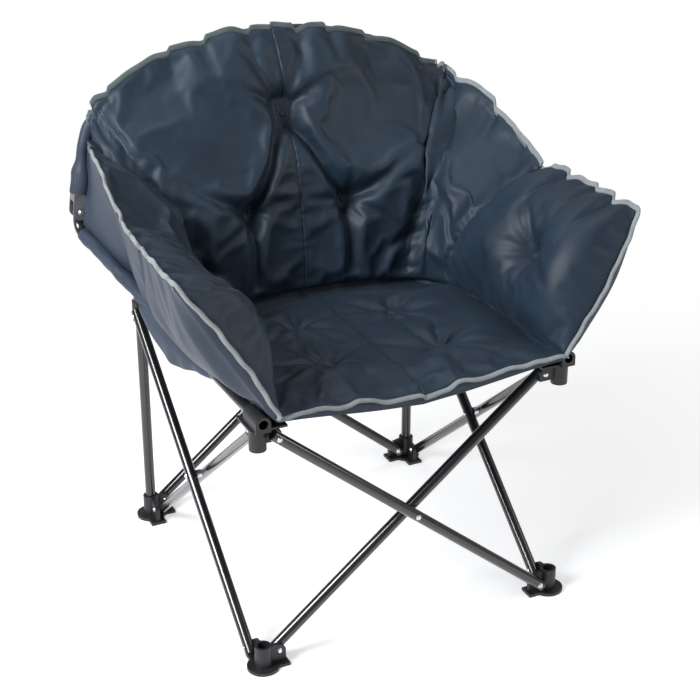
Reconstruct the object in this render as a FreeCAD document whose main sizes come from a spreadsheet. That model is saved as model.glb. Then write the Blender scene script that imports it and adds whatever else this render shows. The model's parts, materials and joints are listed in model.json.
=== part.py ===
import FreeCAD, Part
import math
import os
import Sketcher
from FreeCAD import Placement, Rotation, Vector

# A padded camping chair on a quad-fold steel frame. Millimetres, +Z up, the chair faces -Y.
# The origin is on the ground, midway between the four feet.

doc = FreeCAD.newDocument("padded_camping_chair")
sheet = doc.addObject("Spreadsheet::Sheet", "Sizes")

SIZES = [
    ("corner_half", 290, "half the spacing of the corner posts, both ways"),
    ("pivot_inset", 30, "corner post axis to brace pivot"),
    ("foot_pivot_height", 28, "ground to the lower brace pivots"),
    ("hub_pivot_height", 456, "ground to the upper brace pivots, chair open"),
    ("fold_rise", 223, "how far the hubs climb when the chair folds"),
    ("tube_diameter", 20, "outside of all frame tubes"),
    ("tube_wall", 1.5, "wall of all frame tubes"),
    ("brace_overrun", 11, "brace pivot to the end of its tube"),
    ("plug_depth", 6, "length of an end plug inside the tube"),
    ("plug_flange", 1.5, "thickness of an end plug's rim"),
    ("lug_thickness", 8, "lugs of feet and hubs"),
    ("lug_radius", 12, "rounded end of a lug about its pivot"),
    ("lug_clearance", 0.4, "side gap between a lug and its tube"),
    ("rivet_diameter", 6, "shank of the pivot rivets"),
    ("rivet_clearance", 0.2, "radial gap of a tube on its rivet"),
    ("rivet_head_diameter", 10, "rivet heads"),
    ("rivet_head_height", 2.4, "rivet heads"),
    ("collar_diameter", 15, "shoulder of a crossing rivet"),
    ("boss_diameter", 30, "sockets of feet and hubs"),
    ("foot_boss_height", 46, "ground to the rim of a foot's socket"),
    ("socket_floor", 5, "floor under a foot's socket"),
    ("socket_clearance", 0.2, "radial gap of a post in its socket"),
    ("flange_height", 6, "base flange of a foot"),
    ("flange_radius", 29, "base flange round the socket"),
    ("flange_arm_width", 30, "base flange under a lug"),
    ("hub_boss_drop", 22, "hub pivot to the lower rim of the hub socket"),
    ("hub_plate_rise", 18, "hub pivot to the underside of the top plate"),
    ("hub_plate_thickness", 4, "top plate of a hub"),
    ("hub_plate_reach", 47, "top plate, from the corner axis inwards"),
    ("hub_plate_back", 18, "top plate, from the corner axis outwards"),
    ("slider_diameter", 16, "rod that telescopes in a rear post"),
    ("slider_grip", 80, "rod left in the post when folded"),
    ("slider_cap_diameter", 25, "cap over a rear hub"),
    ("slider_cap_height", 20, "cap over a rear hub"),
    ("sleeve_diameter", 27, "rail sleeve on a front hub"),
    ("sleeve_length", 56, "rail sleeve on a front hub"),
    ("rail_run", 57, "rail from the corner axis to its first bend"),
    ("rail_bend", 150, "radius of the rail's first bend"),
    ("rail_turn", 27, "radius of the rail's bend into the elbow"),
    ("elbow_half", 388, "middle plane to the elbow pin"),
    ("elbow_rise", 207, "hub pivot to the elbow pin, upwards"),
    ("elbow_drop", 34, "elbow pin to the corner of the rail's turn"),
    ("elbow_width", 30, "width of the elbow clevis"),
    ("elbow_cheek", 3, "cheek thickness of the elbow clevis"),
    ("elbow_length", 66, "spacing of the elbow clevis's end rounds"),
    ("elbow_seat", 20, "elbow pin to the end of the hoop tube"),
    ("hoop_depth", 318, "middle of the base to the hoop's plane"),
    ("hoop_rise", 499, "hub pivot to the hoop's axis at its crown, upwards"),
    ("hoop_lean", 8, "inward lean of the hoop's uprights, degrees"),
    ("shoulder_radius", 95, "hoop shoulders"),
    ("crown_radius", 560, "hoop crown"),
    ("tongue_half", 26, "crown hinge pin to the ends of the hoop tubes"),
    ("tongue_thickness", 5, "tongues of the crown hinge"),
    ("tongue_radius", 10, "rounded ends of the tongues"),
    ("tongue_gap", 0.4, "gap between the two tongues"),
    ("tongue_play", 3.2, "radial play of the crown pin in its second tongue"),
    ("tongue_plug", 18, "tongue plug inside the hoop tube"),
    ("pad_clearance", 0.5, "gap between a pad and the frame"),
    ("pad_gap", 0.6, "gap between neighbouring pads"),
    ("pad_edge", 12, "pad thickness along its sewn edges"),
    ("rim_lip", 11, "pad edge above the hoop's axis"),
    ("crease_rise", 38, "hub pivot to the seam of seat and back, upwards"),
    ("seat_rear", 172, "middle of the base to the rear seam of the seat"),
    ("seat_front", 334, "middle of the base to the front edge of the seat"),
    ("seat_margin", 6.5, "rail sleeve to the seat's edge"),
    ("arm_foot_margin", 3, "rail's inner side at the front to the arm's lower seam"),
    ("seat_corner_half", 262, "half width of the seat at the arm seam"),
    ("seat_corner_depth", 60, "middle of the base to the foot of the arm seam"),
    ("seat_sag", 22, "drop of the seat along its middle"),
    ("seat_edge", 24, "seat pad thickness along its outer edge"),
    ("seat_crown", 24, "fullness of the seat pads over their edges"),
    ("arm_crease_rise", 13, "arm's lower seam above the rear seam, at the front"),
    ("arm_front", 300, "middle of the base to the arm's front corner"),
    ("arm_half", 428, "middle plane to the arm's front corner"),
    ("arm_rise", 300, "hub pivot to the arm's front corner, upwards"),
    ("notch_half", 402, "middle plane to the notch of arm and back"),
    ("notch_depth", 20, "middle of the base to the notch"),
    ("notch_rise", 288, "hub pivot to the notch, upwards"),
    ("wing_rise", 40, "rim between shoulder and notch, above their line"),
    ("arm_crown", 68, "fullness of the arm pads"),
    ("back_crown", 66, "fullness of the back pads"),
    ("tuft_radius", 34, "hollow of a sewn tuft"),
    ("tuft_depth", 15, "depth of a sewn tuft"),
]
for row, (alias, value, note) in enumerate(SIZES, 1):
    sheet.set(f"A{row}", note)
    sheet.set(f"B{row}", str(value))
    sheet.setAlias(f"B{row}", alias)
doc.recompute()


ALIASES = {alias for alias, value, note in SIZES}


def size(alias):
    return float(sheet.get(alias))


def bind(obj, **formulas):
    """Ties properties of an object to cells, written as formulas of their aliases."""
    for prop, formula in formulas.items():
        words = "".join(c if c.isalnum() or c == "_" else " " for c in formula).split()
        for word in sorted(set(words), key=len, reverse=True):
            if word in ALIASES:
                formula = swap(formula, word)
        obj.setExpression(prop, formula)


def swap(formula, word):
    """Puts the sheet's name before each whole occurrence of one alias."""
    out, start = "", 0
    while True:
        at = formula.find(word, start)
        if at < 0:
            return out + formula[start:]
        end = at + len(word)
        before = formula[at - 1] if at else " "
        after = formula[end] if end < len(formula) else " "
        whole = not (before.isalnum() or before in "_.") and not (after.isalnum() or after == "_")
        out += formula[start:at] + ("Sizes." if whole else "") + word
        start = end


def new(kind, name, **formulas):
    obj = doc.addObject(kind, name)
    bind(obj, **formulas)
    return obj


def turned(obj, position, axis=(0, 0, 1), angle=0):
    obj.Placement = Placement(Vector(*position), Rotation(Vector(*axis), angle))
    return obj


NODES = []


def node(obj, label):
    obj.Label = label
    NODES.append(obj)
    return obj


def fused(name, shapes):
    obj = doc.addObject("Part::MultiFuse", name)
    obj.Shapes = shapes
    return obj


def cut(name, base, tool):
    obj = doc.addObject("Part::Cut", name)
    obj.Base = base
    obj.Tool = tool
    return obj


def plane(body, role):
    return [f for f in body.Origin.OriginFeatures if f.Role == role][0]


def sketch(body, name, role):
    drawn = body.newObject("Sketcher::SketchObject", name)
    drawn.AttachmentSupport = [(plane(body, role), "")]
    drawn.MapMode = "FlatFace"
    return drawn


# Derived places, all from the sizes above.
corner = size("corner_half")
inset = size("pivot_inset")
reach = corner - inset
low = size("foot_pivot_height")
high = size("hub_pivot_height")
tube_radius = size("tube_diameter") / 2
lug_half = size("lug_thickness") / 2
side = lug_half + size("lug_clearance") + tube_radius
brace_length = math.hypot(2 * reach, high - low)
brace_angle = math.degrees(math.atan2(high - low, 2 * reach))

# The corners in turn: front left, front right, rear right, rear left, each a quarter turn on.
CORNERS = ["front_left", "front_right", "rear_right", "rear_left"]
SIDES = ["front", "right", "rear", "left"]


def corner_placement(turn, height=0.0):
    spin = Rotation(Vector(0, 0, 1), 90 * turn)
    return Placement(spin.multVec(Vector(-corner, -corner, height)), spin)


# Brace tubes and their end plugs. Each side is a scissor of an inner and an outer tube:
# the inner one climbs to the next corner's hub, the outer one climbs back to this corner's hub.


def brace(label, placement):
    length = "sqrt((2 * (corner_half - pivot_inset))^2 + (hub_pivot_height - foot_pivot_height)^2)"
    outer = new("Part::Cylinder", label + "_wall", Radius="tube_diameter / 2",
                Height=length + " + 2 * brace_overrun")
    bore = new("Part::Cylinder", label + "_bore", Radius="tube_diameter / 2 - tube_wall",
               Height=length + " + 2 * brace_overrun")
    tools = [bore]
    for number, share in enumerate((0, 0.5, 1)):
        hole = new("Part::Cylinder", f"{label}_hole_{number}", Radius="rivet_diameter / 2 + rivet_clearance",
                   Height="tube_diameter * 1.2")
        along = size("brace_overrun") + share * brace_length
        turned(hole, (0, tube_radius * 1.2, along), (1, 0, 0), 90)
        tools.append(hole)
    tube = cut(label, outer, fused(label + "_tools", tools))
    tube.Placement = placement
    node(tube, label)
    plugs = []
    for number, (seat, spin) in enumerate(((0, 0), (brace_length + 2 * size("brace_overrun"), 180))):
        stem = new("Part::Cylinder", f"{label}_stem_{number}", Radius="tube_diameter / 2 - tube_wall",
                   Height="plug_depth")
        turned(stem, (0, 0, seat), (1, 0, 0), spin)
        rim = new("Part::Cone", f"{label}_rim_{number}", Radius1="tube_diameter / 2",
                  Radius2="tube_diameter / 2 - plug_flange", Height="plug_flange")
        turned(rim, (0, 0, seat), (1, 0, 0), 180 - spin)
        plugs.append(fused(f"{label}_plug_{number}", [stem, rim]))
    pair = doc.addObject("Part::Compound", label + "_plugs")
    pair.Links = plugs
    pair.Placement = placement
    node(pair, label + "_plugs")


def brace_placement(turn, inner):
    """Along a side, seen in the front side's frame, then turned to its own side."""
    spin = Rotation(Vector(0, 0, 1), 90 * turn)
    lean = 90 - brace_angle if inner else brace_angle - 90
    climb = Rotation(Vector(0, 1, 0), lean)
    pivot = Vector(-reach if inner else reach, -corner + (side if inner else -side), low)
    start = pivot - climb.multVec(Vector(0, 0, size("brace_overrun")))
    return Placement(spin.multVec(start), spin.multiply(climb))


for turn, name in enumerate(SIDES):
    brace("brace_" + name + "_inner", brace_placement(turn, True))
    brace("brace_" + name + "_outer", brace_placement(turn, False))


# Rivets, lying along +Z from the face of the lug to the far side of the tube.


def rivet(name, reach_formula):
    """A shank with a coned head at both ends, between two heights."""
    shank = new("Part::Cylinder", name + "_shank", Radius="rivet_diameter / 2", Height=reach_formula)
    heads = []
    for number in (0, 1):
        head = new("Part::Cone", f"{name}_head_{number}", Radius1="rivet_head_diameter / 2",
                   Radius2="rivet_head_diameter / 2 - rivet_head_height * 0.8", Height="rivet_head_height")
        heads.append(head)
    turned(heads[0], (0, 0, 0), (1, 0, 0), 180)
    bind(heads[1], **{"Placement.Base.z": reach_formula})
    return fused(name, [shank] + heads)


LUG_RIVET = "lug_thickness + lug_clearance + tube_diameter"


def lug_rivets(label, placement, inward):
    """The two pivot rivets of a foot or hub, in its own frame: one along Y on the X lug, one along X."""
    first = rivet(label + "_a", LUG_RIVET)
    second = rivet(label + "_b", LUG_RIVET)
    if inward:
        turned(first, (inset, -lug_half, 0), (1, 0, 0), -90)
        turned(second, (lug_half, inset, 0), (0, 1, 0), -90)
    else:
        turned(first, (inset, lug_half, 0), (1, 0, 0), 90)
        turned(second, (-lug_half, inset, 0), (0, 1, 0), 90)
    pair = doc.addObject("Part::Compound", label)
    pair.Links = [first, second]
    pair.Placement = placement
    node(pair, label)


for turn, name in enumerate(CORNERS):
    lug_rivets("rivets_foot_" + name, corner_placement(turn, low), True)
    lug_rivets("rivets_hub_" + name, corner_placement(turn, high), False)

for turn, name in enumerate(SIDES):
    label = "rivet_crossing_" + name
    span = "lug_thickness + 2 * lug_clearance + 2 * tube_diameter"
    pin = rivet(label + "_pin", span)
    shoulder = new("Part::Cylinder", label + "_shoulder", Radius="collar_diameter / 2",
                   Height="lug_thickness + 1.2 * lug_clearance")
    bind(shoulder, **{"Placement.Base.z": "tube_diameter + 0.4 * lug_clearance"})
    both = fused(label, [pin, shoulder])
    spin = Rotation(Vector(0, 0, 1), 90 * turn)
    start = Vector(0, -corner + side + tube_radius, (low + high) / 2)
    both.Placement = Placement(spin.multVec(start), spin.multiply(Rotation(Vector(1, 0, 0), 90)))
    node(both, label)


# Feet and hubs: mouldings with a socket and two lugs at a right angle.


def line(drawn, start, end):
    return drawn.addGeometry(Part.LineSegment(Vector(*start, 0), Vector(*end, 0)))


def join(drawn, *edges):
    """Joins edges end to start, round to the first."""
    for first, second in zip(edges, edges[1:] + edges[:1]):
        constrain(drawn, "Coincident", first, 2, second, 1)


def constrain(drawn, kind, *args, formula=None):
    number = drawn.addConstraint(Sketcher.Constraint(kind, *args))
    if formula:
        bind(drawn, **{f"Constraints[{number}]": formula})
    return number


def circle(body, name, role, radius_formula, radius, centre=(0, 0), centre_formulas=None):
    drawn = sketch(body, name, role)
    ring = drawn.addGeometry(Part.Circle(Vector(*centre, 0), Vector(0, 0, 1), radius))
    constrain(drawn, "Radius", ring, radius, formula=radius_formula)
    if centre_formulas is None:
        constrain(drawn, "Coincident", ring, 3, -1, 1)
    else:
        constrain(drawn, "DistanceX", ring, 3, centre[0], formula=centre_formulas[0])
        constrain(drawn, "DistanceY", ring, 3, centre[1], formula=centre_formulas[1])
    return drawn


def pad(body, name, drawn, formula, both_ways=False, backwards=False):
    feature = body.newObject("PartDesign::Pad", name)
    feature.Profile = drawn
    if both_ways:
        feature.Midplane = True
    feature.Reversed = backwards
    bind(feature, Length=formula)
    doc.recompute()
    return feature


def pocket(body, name, drawn, formula, both_ways=False, backwards=False):
    doc.recompute()
    before = body.Shape.Volume
    feature = body.newObject("PartDesign::Pocket", name)
    feature.Profile = drawn
    if both_ways:
        feature.Midplane = True
    feature.Reversed = backwards
    bind(feature, Length=formula)
    doc.recompute()
    if body.Shape.Volume > before - 1:
        raise RuntimeError(f"{name} of {body.Label} cuts nothing")
    return feature


def rectangle(drawn, left, bottom, right, top, formulas):
    """A rectangle about or beside the sketch's origin: four signed places, each with its own formula."""
    corners = [(left, bottom), (right, bottom), (right, top), (left, top)]
    edges = [line(drawn, corners[i], corners[(i + 1) % 4]) for i in range(4)]
    join(drawn, *edges)
    for number, kind in enumerate(("Horizontal", "Vertical", "Horizontal", "Vertical")):
        constrain(drawn, kind, edges[number])
    places = (left, bottom, right, top)
    points = ((edges[0], 1, "DistanceX"), (edges[0], 1, "DistanceY"),
              (edges[1], 2, "DistanceX"), (edges[1], 2, "DistanceY"))
    for (edge, point, kind), place, formula in zip(points, places, formulas):
        constrain(drawn, kind, edge, point, place, formula=formula)


def foot(label, placement):
    body = node(doc.addObject("PartDesign::Body", label), label)
    pad(body, "flange", circle(body, "flange_outline", "XY_Plane", "flange_radius", size("flange_radius")),
        "flange_height")
    half = size("flange_arm_width") / 2
    tip = inset + size("lug_radius") + lug_half
    tip_formula = "pivot_inset + lug_radius + lug_thickness / 2"
    arm = sketch(body, "arm_x_outline", "XY_Plane")
    rectangle(arm, 0, -half, tip, half, ["0", "-flange_arm_width / 2", tip_formula,
                                         "flange_arm_width / 2"])
    pad(body, "arm_x", arm, "flange_height")
    arm = sketch(body, "arm_y_outline", "XY_Plane")
    rectangle(arm, -half, 0, half, tip, ["-flange_arm_width / 2", "0", "flange_arm_width / 2",
                                         tip_formula])
    pad(body, "arm_y", arm, "flange_height")
    pad(body, "boss", circle(body, "boss_outline", "XY_Plane", "boss_diameter / 2", size("boss_diameter") / 2),
        "foot_boss_height")
    for role, name in (("XZ_Plane", "lug_x"), ("YZ_Plane", "lug_y")):
        lug(body, name, role, ("foot_pivot_height", low), ("0", 0),
            ("foot_boss_height", size("foot_boss_height")))
    floor = sketch(body, "socket_outline", "XY_Plane")
    ring = floor.addGeometry(Part.Circle(Vector(0, 0, 0), Vector(0, 0, 1), tube_radius))
    constrain(floor, "Coincident", ring, 3, -1, 1)
    constrain(floor, "Radius", ring, tube_radius, formula="tube_diameter / 2 + socket_clearance")
    bind(floor, **{"AttachmentOffset.Base.z": "socket_floor"})
    pocket(body, "socket", floor, "foot_boss_height", backwards=True)
    body.Placement = placement
    return body


def lug(body, name, role, pivot_place, bottom_place, top_place):
    """A plate from the socket's axis to a rounded end about the pivot, with the rivet's hole."""
    drawn = sketch(body, name + "_outline", role)
    pivot_formula, pivot = pivot_place
    bottom_formula, bottom = bottom_place
    top_formula, top = top_place
    radius = size("lug_radius")
    base = line(drawn, (0, bottom), (inset + radius, bottom))
    nose = line(drawn, (inset + radius, bottom), (inset + radius, pivot))
    arc = drawn.addGeometry(Part.ArcOfCircle(Part.Circle(Vector(inset, pivot, 0), Vector(0, 0, 1), radius),
                                             0, math.radians(70)))
    end = (inset + radius * math.cos(math.radians(70)), pivot + radius * math.sin(math.radians(70)))
    slope = line(drawn, end, (0, top))
    back = line(drawn, (0, top), (0, bottom))
    for first, second in ((base, nose), (nose, arc), (slope, back), (back, base)):
        constrain(drawn, "Coincident", first, 2, second, 1)
    constrain(drawn, "Coincident", arc, 2, slope, 1)
    constrain(drawn, "Horizontal", base)
    constrain(drawn, "Vertical", nose)
    constrain(drawn, "Vertical", back)
    constrain(drawn, "Tangent", arc, slope)
    constrain(drawn, "Radius", arc, radius, formula="lug_radius")
    constrain(drawn, "DistanceX", arc, 3, inset, formula="pivot_inset")
    constrain(drawn, "DistanceY", arc, 3, pivot, formula=pivot_formula)
    constrain(drawn, "DistanceX", base, 1, 0, formula="0")
    constrain(drawn, "DistanceY", base, 1, bottom, formula=bottom_formula)
    constrain(drawn, "DistanceY", slope, 2, top, formula=top_formula)
    constrain(drawn, "DistanceX", nose, 2, inset + radius, formula="pivot_inset + lug_radius")
    pad(body, name, drawn, "lug_thickness", both_ways=True)
    hole = circle(body, name + "_hole_outline", role, "rivet_diameter / 2", size("rivet_diameter") / 2,
                  (inset, pivot), ("pivot_inset", pivot_formula))
    pocket(body, name + "_hole", hole, "lug_thickness * 1.5", both_ways=True)


for turn, name in enumerate(CORNERS):
    foot("foot_" + name, corner_placement(turn))


def hub(label, placement, sleeve_role=None):
    """A socket with two lugs; a front hub also has a flat plate and the sleeve that holds its rail."""
    body = node(doc.addObject("PartDesign::Body", label), label)
    boss = circle(body, "boss_outline", "XY_Plane", "boss_diameter / 2", size("boss_diameter") / 2)
    bind(boss, **{"AttachmentOffset.Base.z": "-hub_boss_drop"})
    pad(body, "boss", boss, "hub_boss_drop + hub_plate_rise")
    for role, name in (("XZ_Plane", "lug_x"), ("YZ_Plane", "lug_y")):
        lug(body, name, role, ("0", 0), ("-lug_radius", -size("lug_radius")),
            ("hub_plate_rise", size("hub_plate_rise")))
    if sleeve_role:
        tray = sketch(body, "plate_outline", "XY_Plane")
        back, front = size("hub_plate_back"), size("hub_plate_reach")
        rectangle(tray, -back, -back, front, front, ["-hub_plate_back", "-hub_plate_back", "hub_plate_reach",
                                                     "hub_plate_reach"])
        bind(tray, **{"AttachmentOffset.Base.z": "hub_plate_rise"})
        pad(body, "plate", tray, "hub_plate_thickness")
        cradle = sketch(body, "cradle_outline", sleeve_role)
        wide = size("sleeve_diameter") / 2
        rise = size("hub_plate_rise") + size("hub_plate_thickness")
        rectangle(cradle, -wide, rise - 1, wide, rise + wide,
                  ["-sleeve_diameter / 2", "hub_plate_rise + hub_plate_thickness / 2", "sleeve_diameter / 2",
                   "hub_plate_rise + hub_plate_thickness + sleeve_diameter / 2"])
        pad(body, "cradle", cradle, "sleeve_length", both_ways=True)
        ring = circle(body, "sleeve_outline", sleeve_role, "sleeve_diameter / 2", wide, (0, rise + wide),
                      ("0", "hub_plate_rise + hub_plate_thickness + sleeve_diameter / 2"))
        pad(body, "sleeve", ring, "sleeve_length", both_ways=True)
        bore = circle(body, "sleeve_bore_outline", sleeve_role, "tube_diameter / 2 + socket_clearance",
                      tube_radius, (0, rise + wide),
                      ("0", "hub_plate_rise + hub_plate_thickness + sleeve_diameter / 2"))
        pocket(body, "sleeve_bore", bore, "sleeve_length * 2", both_ways=True)
    doc.recompute()
    socket = circle(body, "socket_outline", "XY_Plane", "slider_diameter / 2 + socket_clearance",
                    size("slider_diameter") / 2)
    bind(socket, **{"AttachmentOffset.Base.z": "-hub_boss_drop"})
    depth = "hub_boss_drop + hub_plate_rise - lug_thickness" if sleeve_role else "hub_boss_drop + 3 * hub_plate_rise"
    pocket(body, "socket", socket, depth, backwards=True)
    body.Placement = placement
    return body


for turn, name in enumerate(CORNERS):
    hub("hub_" + name, corner_placement(turn, high), {0: "XZ_Plane", 1: "YZ_Plane"}.get(turn))


# Rear posts: a tube that stands in the foot's socket and a capped rod that hangs from the hub inside it.

for name, hand in (("left", -1), ("right", 1)):
    label = "post_rear_" + name
    length = "hub_pivot_height - hub_boss_drop - lug_clearance - socket_floor"
    wall = new("Part::Cylinder", label + "_wall", Radius="tube_diameter / 2", Height=length)
    bore = new("Part::Cylinder", label + "_bore", Radius="tube_diameter / 2 - tube_wall", Height=length)
    post = cut(label, wall, bore)
    turned(post, (hand * corner, corner, size("socket_floor")))
    node(post, label)
    label = "slider_rear_" + name
    rod = new("Part::Cylinder", label + "_rod", Radius="slider_diameter / 2",
              Height="hub_boss_drop + hub_plate_rise + fold_rise + slider_grip")
    cap = new("Part::Cone", label + "_cap", Radius1="slider_cap_diameter / 2",
              Radius2="slider_cap_diameter / 2 - 2 * plug_flange", Height="slider_cap_height")
    bind(cap, **{"Placement.Base.z":
                 "hub_boss_drop + hub_plate_rise + fold_rise + slider_grip"})
    slider = fused(label, [rod, cap])
    foot_of_rod = high - size("hub_boss_drop") - size("fold_rise") - size("slider_grip")
    turned(slider, (hand * corner, corner, foot_of_rod))
    node(slider, label)


# Bent tubes: a path of straight runs and tangent arcs, swept by two circles.


def rounded_path(points, radii):
    """Edges through points, with an arc of the given radius at each inner point."""
    edges, start = [], points[0]
    for before, point, after, radius in zip(points, points[1:], points[2:], radii):
        arrive = (point - before).normalize()
        leave = (after - point).normalize()
        turn = arrive.getAngle(leave)
        back = radius * math.tan(turn / 2)
        first, last = point - arrive * back, point + leave * back
        inward = (leave - arrive).normalize()
        middle = point + inward * (radius / math.cos(turn / 2) - radius)
        edges.append(Part.LineSegment(start, first).toShape())
        edges.append(Part.Arc(first, middle, last).toShape())
        start = last
    edges.append(Part.LineSegment(start, points[-1]).toShape())
    return edges


def bent_tube(label, edges):
    path = doc.addObject("Part::Feature", label + "_path")
    path.Shape = Part.Wire(edges)
    start = edges[0].valueAt(edges[0].FirstParameter)
    ahead = edges[0].tangentAt(edges[0].FirstParameter)
    names = [f"Edge{number}" for number in range(1, len(edges) + 1)]
    swept = []
    for part_name, formula in (("wall", "tube_diameter / 2"), ("bore", "tube_diameter / 2 - tube_wall")):
        ring = new("Part::Circle", f"{label}_{part_name}_ring", Radius=formula)
        ring.Placement = Placement(start, Rotation(Vector(0, 0, 1), ahead))
        sweep = doc.addObject("Part::Sweep", f"{label}_{part_name}")
        sweep.Sections = [ring]
        sweep.Spine = (path, names)
        sweep.Solid = True
        sweep.Frenet = False
        swept.append(sweep)
    return cut(label, *swept)


lean = math.radians(size("hoop_lean"))
sleeve_rise = size("hub_plate_rise") + size("hub_plate_thickness") + size("sleeve_diameter") / 2
rail_height = high + sleeve_rise
hoop_plane = size("hoop_depth")


def mirrored(point, hand):
    return Vector(hand * point.x, point.y, point.z)


up = Vector(math.sin(lean), 0, math.cos(lean))
elbow = Vector(-size("elbow_half"), hoop_plane, high + size("elbow_rise"))

# Arm rails, from the sleeve of a front hub back and up to the elbow pin.
rail_points = [
    Vector(-corner, -corner - size("sleeve_length") / 2, rail_height),
    Vector(-corner, -corner + size("rail_run"), rail_height),
    elbow - up * size("elbow_drop"),
    elbow + up * size("lug_radius"),
]
rail_radii = [size("rail_bend"), size("rail_turn")]

# The hoop's half: an upright, a shoulder and half a crown, tangent to one another.
hoop_top = high + size("hoop_rise")
crown_centre = Vector(0, hoop_plane, hoop_top - size("crown_radius"))
shoulder = size("shoulder_radius")
to_right = Vector(math.cos(lean), 0, -math.sin(lean))
hoop_start = elbow + up * size("elbow_seat")
offset = hoop_start + to_right * shoulder - crown_centre
span = size("crown_radius") - shoulder
half_b = offset.dot(up)
run = -half_b + math.sqrt(half_b ** 2 - offset.dot(offset) + span ** 2)
shoulder_centre = hoop_start + up * run + to_right * shoulder
shoulder_start = hoop_start + up * run
outward = (shoulder_centre - crown_centre).normalize()
shoulder_end = shoulder_centre + outward * shoulder
shoulder_middle = shoulder_centre + (outward - to_right).normalize() * shoulder
tongue_tilt = math.asin(size("tongue_half") / size("crown_radius"))


def on_crown(angle):
    return crown_centre + Vector(-math.sin(angle), 0, math.cos(angle)) * size("crown_radius")


def hoop_height(half):
    """Height of the crown's axis at a distance from the middle plane."""
    return crown_centre.z + math.sqrt(size("crown_radius") ** 2 - half ** 2)


crown_start = math.asin(-shoulder_end.x / size("crown_radius"))
crown_middle = on_crown((crown_start + tongue_tilt) / 2)
crown_end = on_crown(tongue_tilt)

for name, hand in (("left", 1), ("right", -1)):
    rail = bent_tube(f"rail_{name}_tube", rounded_path([mirrored(p, hand) for p in rail_points], rail_radii))
    pin_hole = new("Part::Cylinder", f"rail_{name}_pin_hole", Radius="rivet_diameter / 2 + rivet_clearance",
                   Height="tube_diameter * 1.2")
    turned(pin_hole, mirrored(elbow + Vector(0, tube_radius * 1.2, 0), hand), (1, 0, 0), 90)
    node(cut("rail_" + name, rail, pin_hole), "rail_" + name)
    marks = [mirrored(p, hand) for p in (hoop_start, shoulder_start, shoulder_middle, shoulder_end,
                                         crown_middle, crown_end)]
    hoop = bent_tube("hoop_" + name, [
        Part.LineSegment(marks[0], marks[1]).toShape(),
        Part.Arc(marks[1], marks[2], marks[3]).toShape(),
        Part.Arc(marks[3], marks[4], marks[5]).toShape(),
    ])
    node(hoop, "hoop_" + name)


# Elbows: a clevis whose upper end grips the hoop and whose cheeks straddle the rail.

for name, hand in (("left", 1), ("right", -1)):
    label = "elbow_" + name
    body = node(doc.addObject("PartDesign::Body", label), label)
    drawn = sketch(body, "cheek_outline", "XZ_Plane")
    half, tall = size("elbow_width") / 2, size("elbow_length")
    left_edge = line(drawn, (-half, 0), (-half, tall))
    right_edge = line(drawn, (half, tall), (half, 0))
    top_arc = drawn.addGeometry(Part.ArcOfCircle(Part.Circle(Vector(0, tall, 0), Vector(0, 0, 1), half), 0, math.pi))
    low_arc = drawn.addGeometry(Part.ArcOfCircle(Part.Circle(Vector(0, 0, 0), Vector(0, 0, 1), half),
                                                 math.pi, 2 * math.pi))
    constrain(drawn, "Tangent", left_edge, 2, top_arc, 2)
    constrain(drawn, "Tangent", right_edge, 1, top_arc, 1)
    constrain(drawn, "Tangent", left_edge, 1, low_arc, 1)
    constrain(drawn, "Tangent", right_edge, 2, low_arc, 2)
    constrain(drawn, "Coincident", low_arc, 3, -1, 1)
    constrain(drawn, "Radius", low_arc, half, formula="elbow_width / 2")
    constrain(drawn, "Vertical", left_edge)
    constrain(drawn, "DistanceY", top_arc, 3, tall, formula="elbow_length")
    wide = "tube_diameter + 2 * (lug_clearance + elbow_cheek)"
    pad(body, "cheeks", drawn, wide, both_ways=True)
    slot = sketch(body, "slot_outline", "YZ_Plane")
    gap = tube_radius + size("lug_clearance")
    rectangle(slot, -gap, -2 * half, gap, size("elbow_seat") - 1,
              ["-tube_diameter / 2 - lug_clearance", "-elbow_width", "tube_diameter / 2 + lug_clearance",
               "elbow_seat - lug_clearance"])
    pocket(body, "slot", slot, "elbow_width * 2", both_ways=True)
    bore = circle(body, "bore_outline", "XY_Plane", "tube_diameter / 2 + socket_clearance", tube_radius)
    pocket(body, "bore", bore, "elbow_length * 3", both_ways=True)
    holes = circle(body, "pin_outline", "XZ_Plane", "rivet_diameter / 2", size("rivet_diameter") / 2)
    pocket(body, "pin_hole", holes, "elbow_width * 3", both_ways=True)
    body.Placement = Placement(mirrored(elbow, hand), Rotation(Vector(0, 1, 0), hand * size("hoop_lean")))
    pin = rivet("rivet_elbow_" + name, wide)
    start = elbow + Vector(0, gap + size("elbow_cheek"), 0)
    turned(pin, mirrored(start, hand), (1, 0, 0), 90)
    node(pin, "rivet_elbow_" + name)


# Crown hinge: two tongues plugged into the hoop's halves and lapped on one pin.

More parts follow.
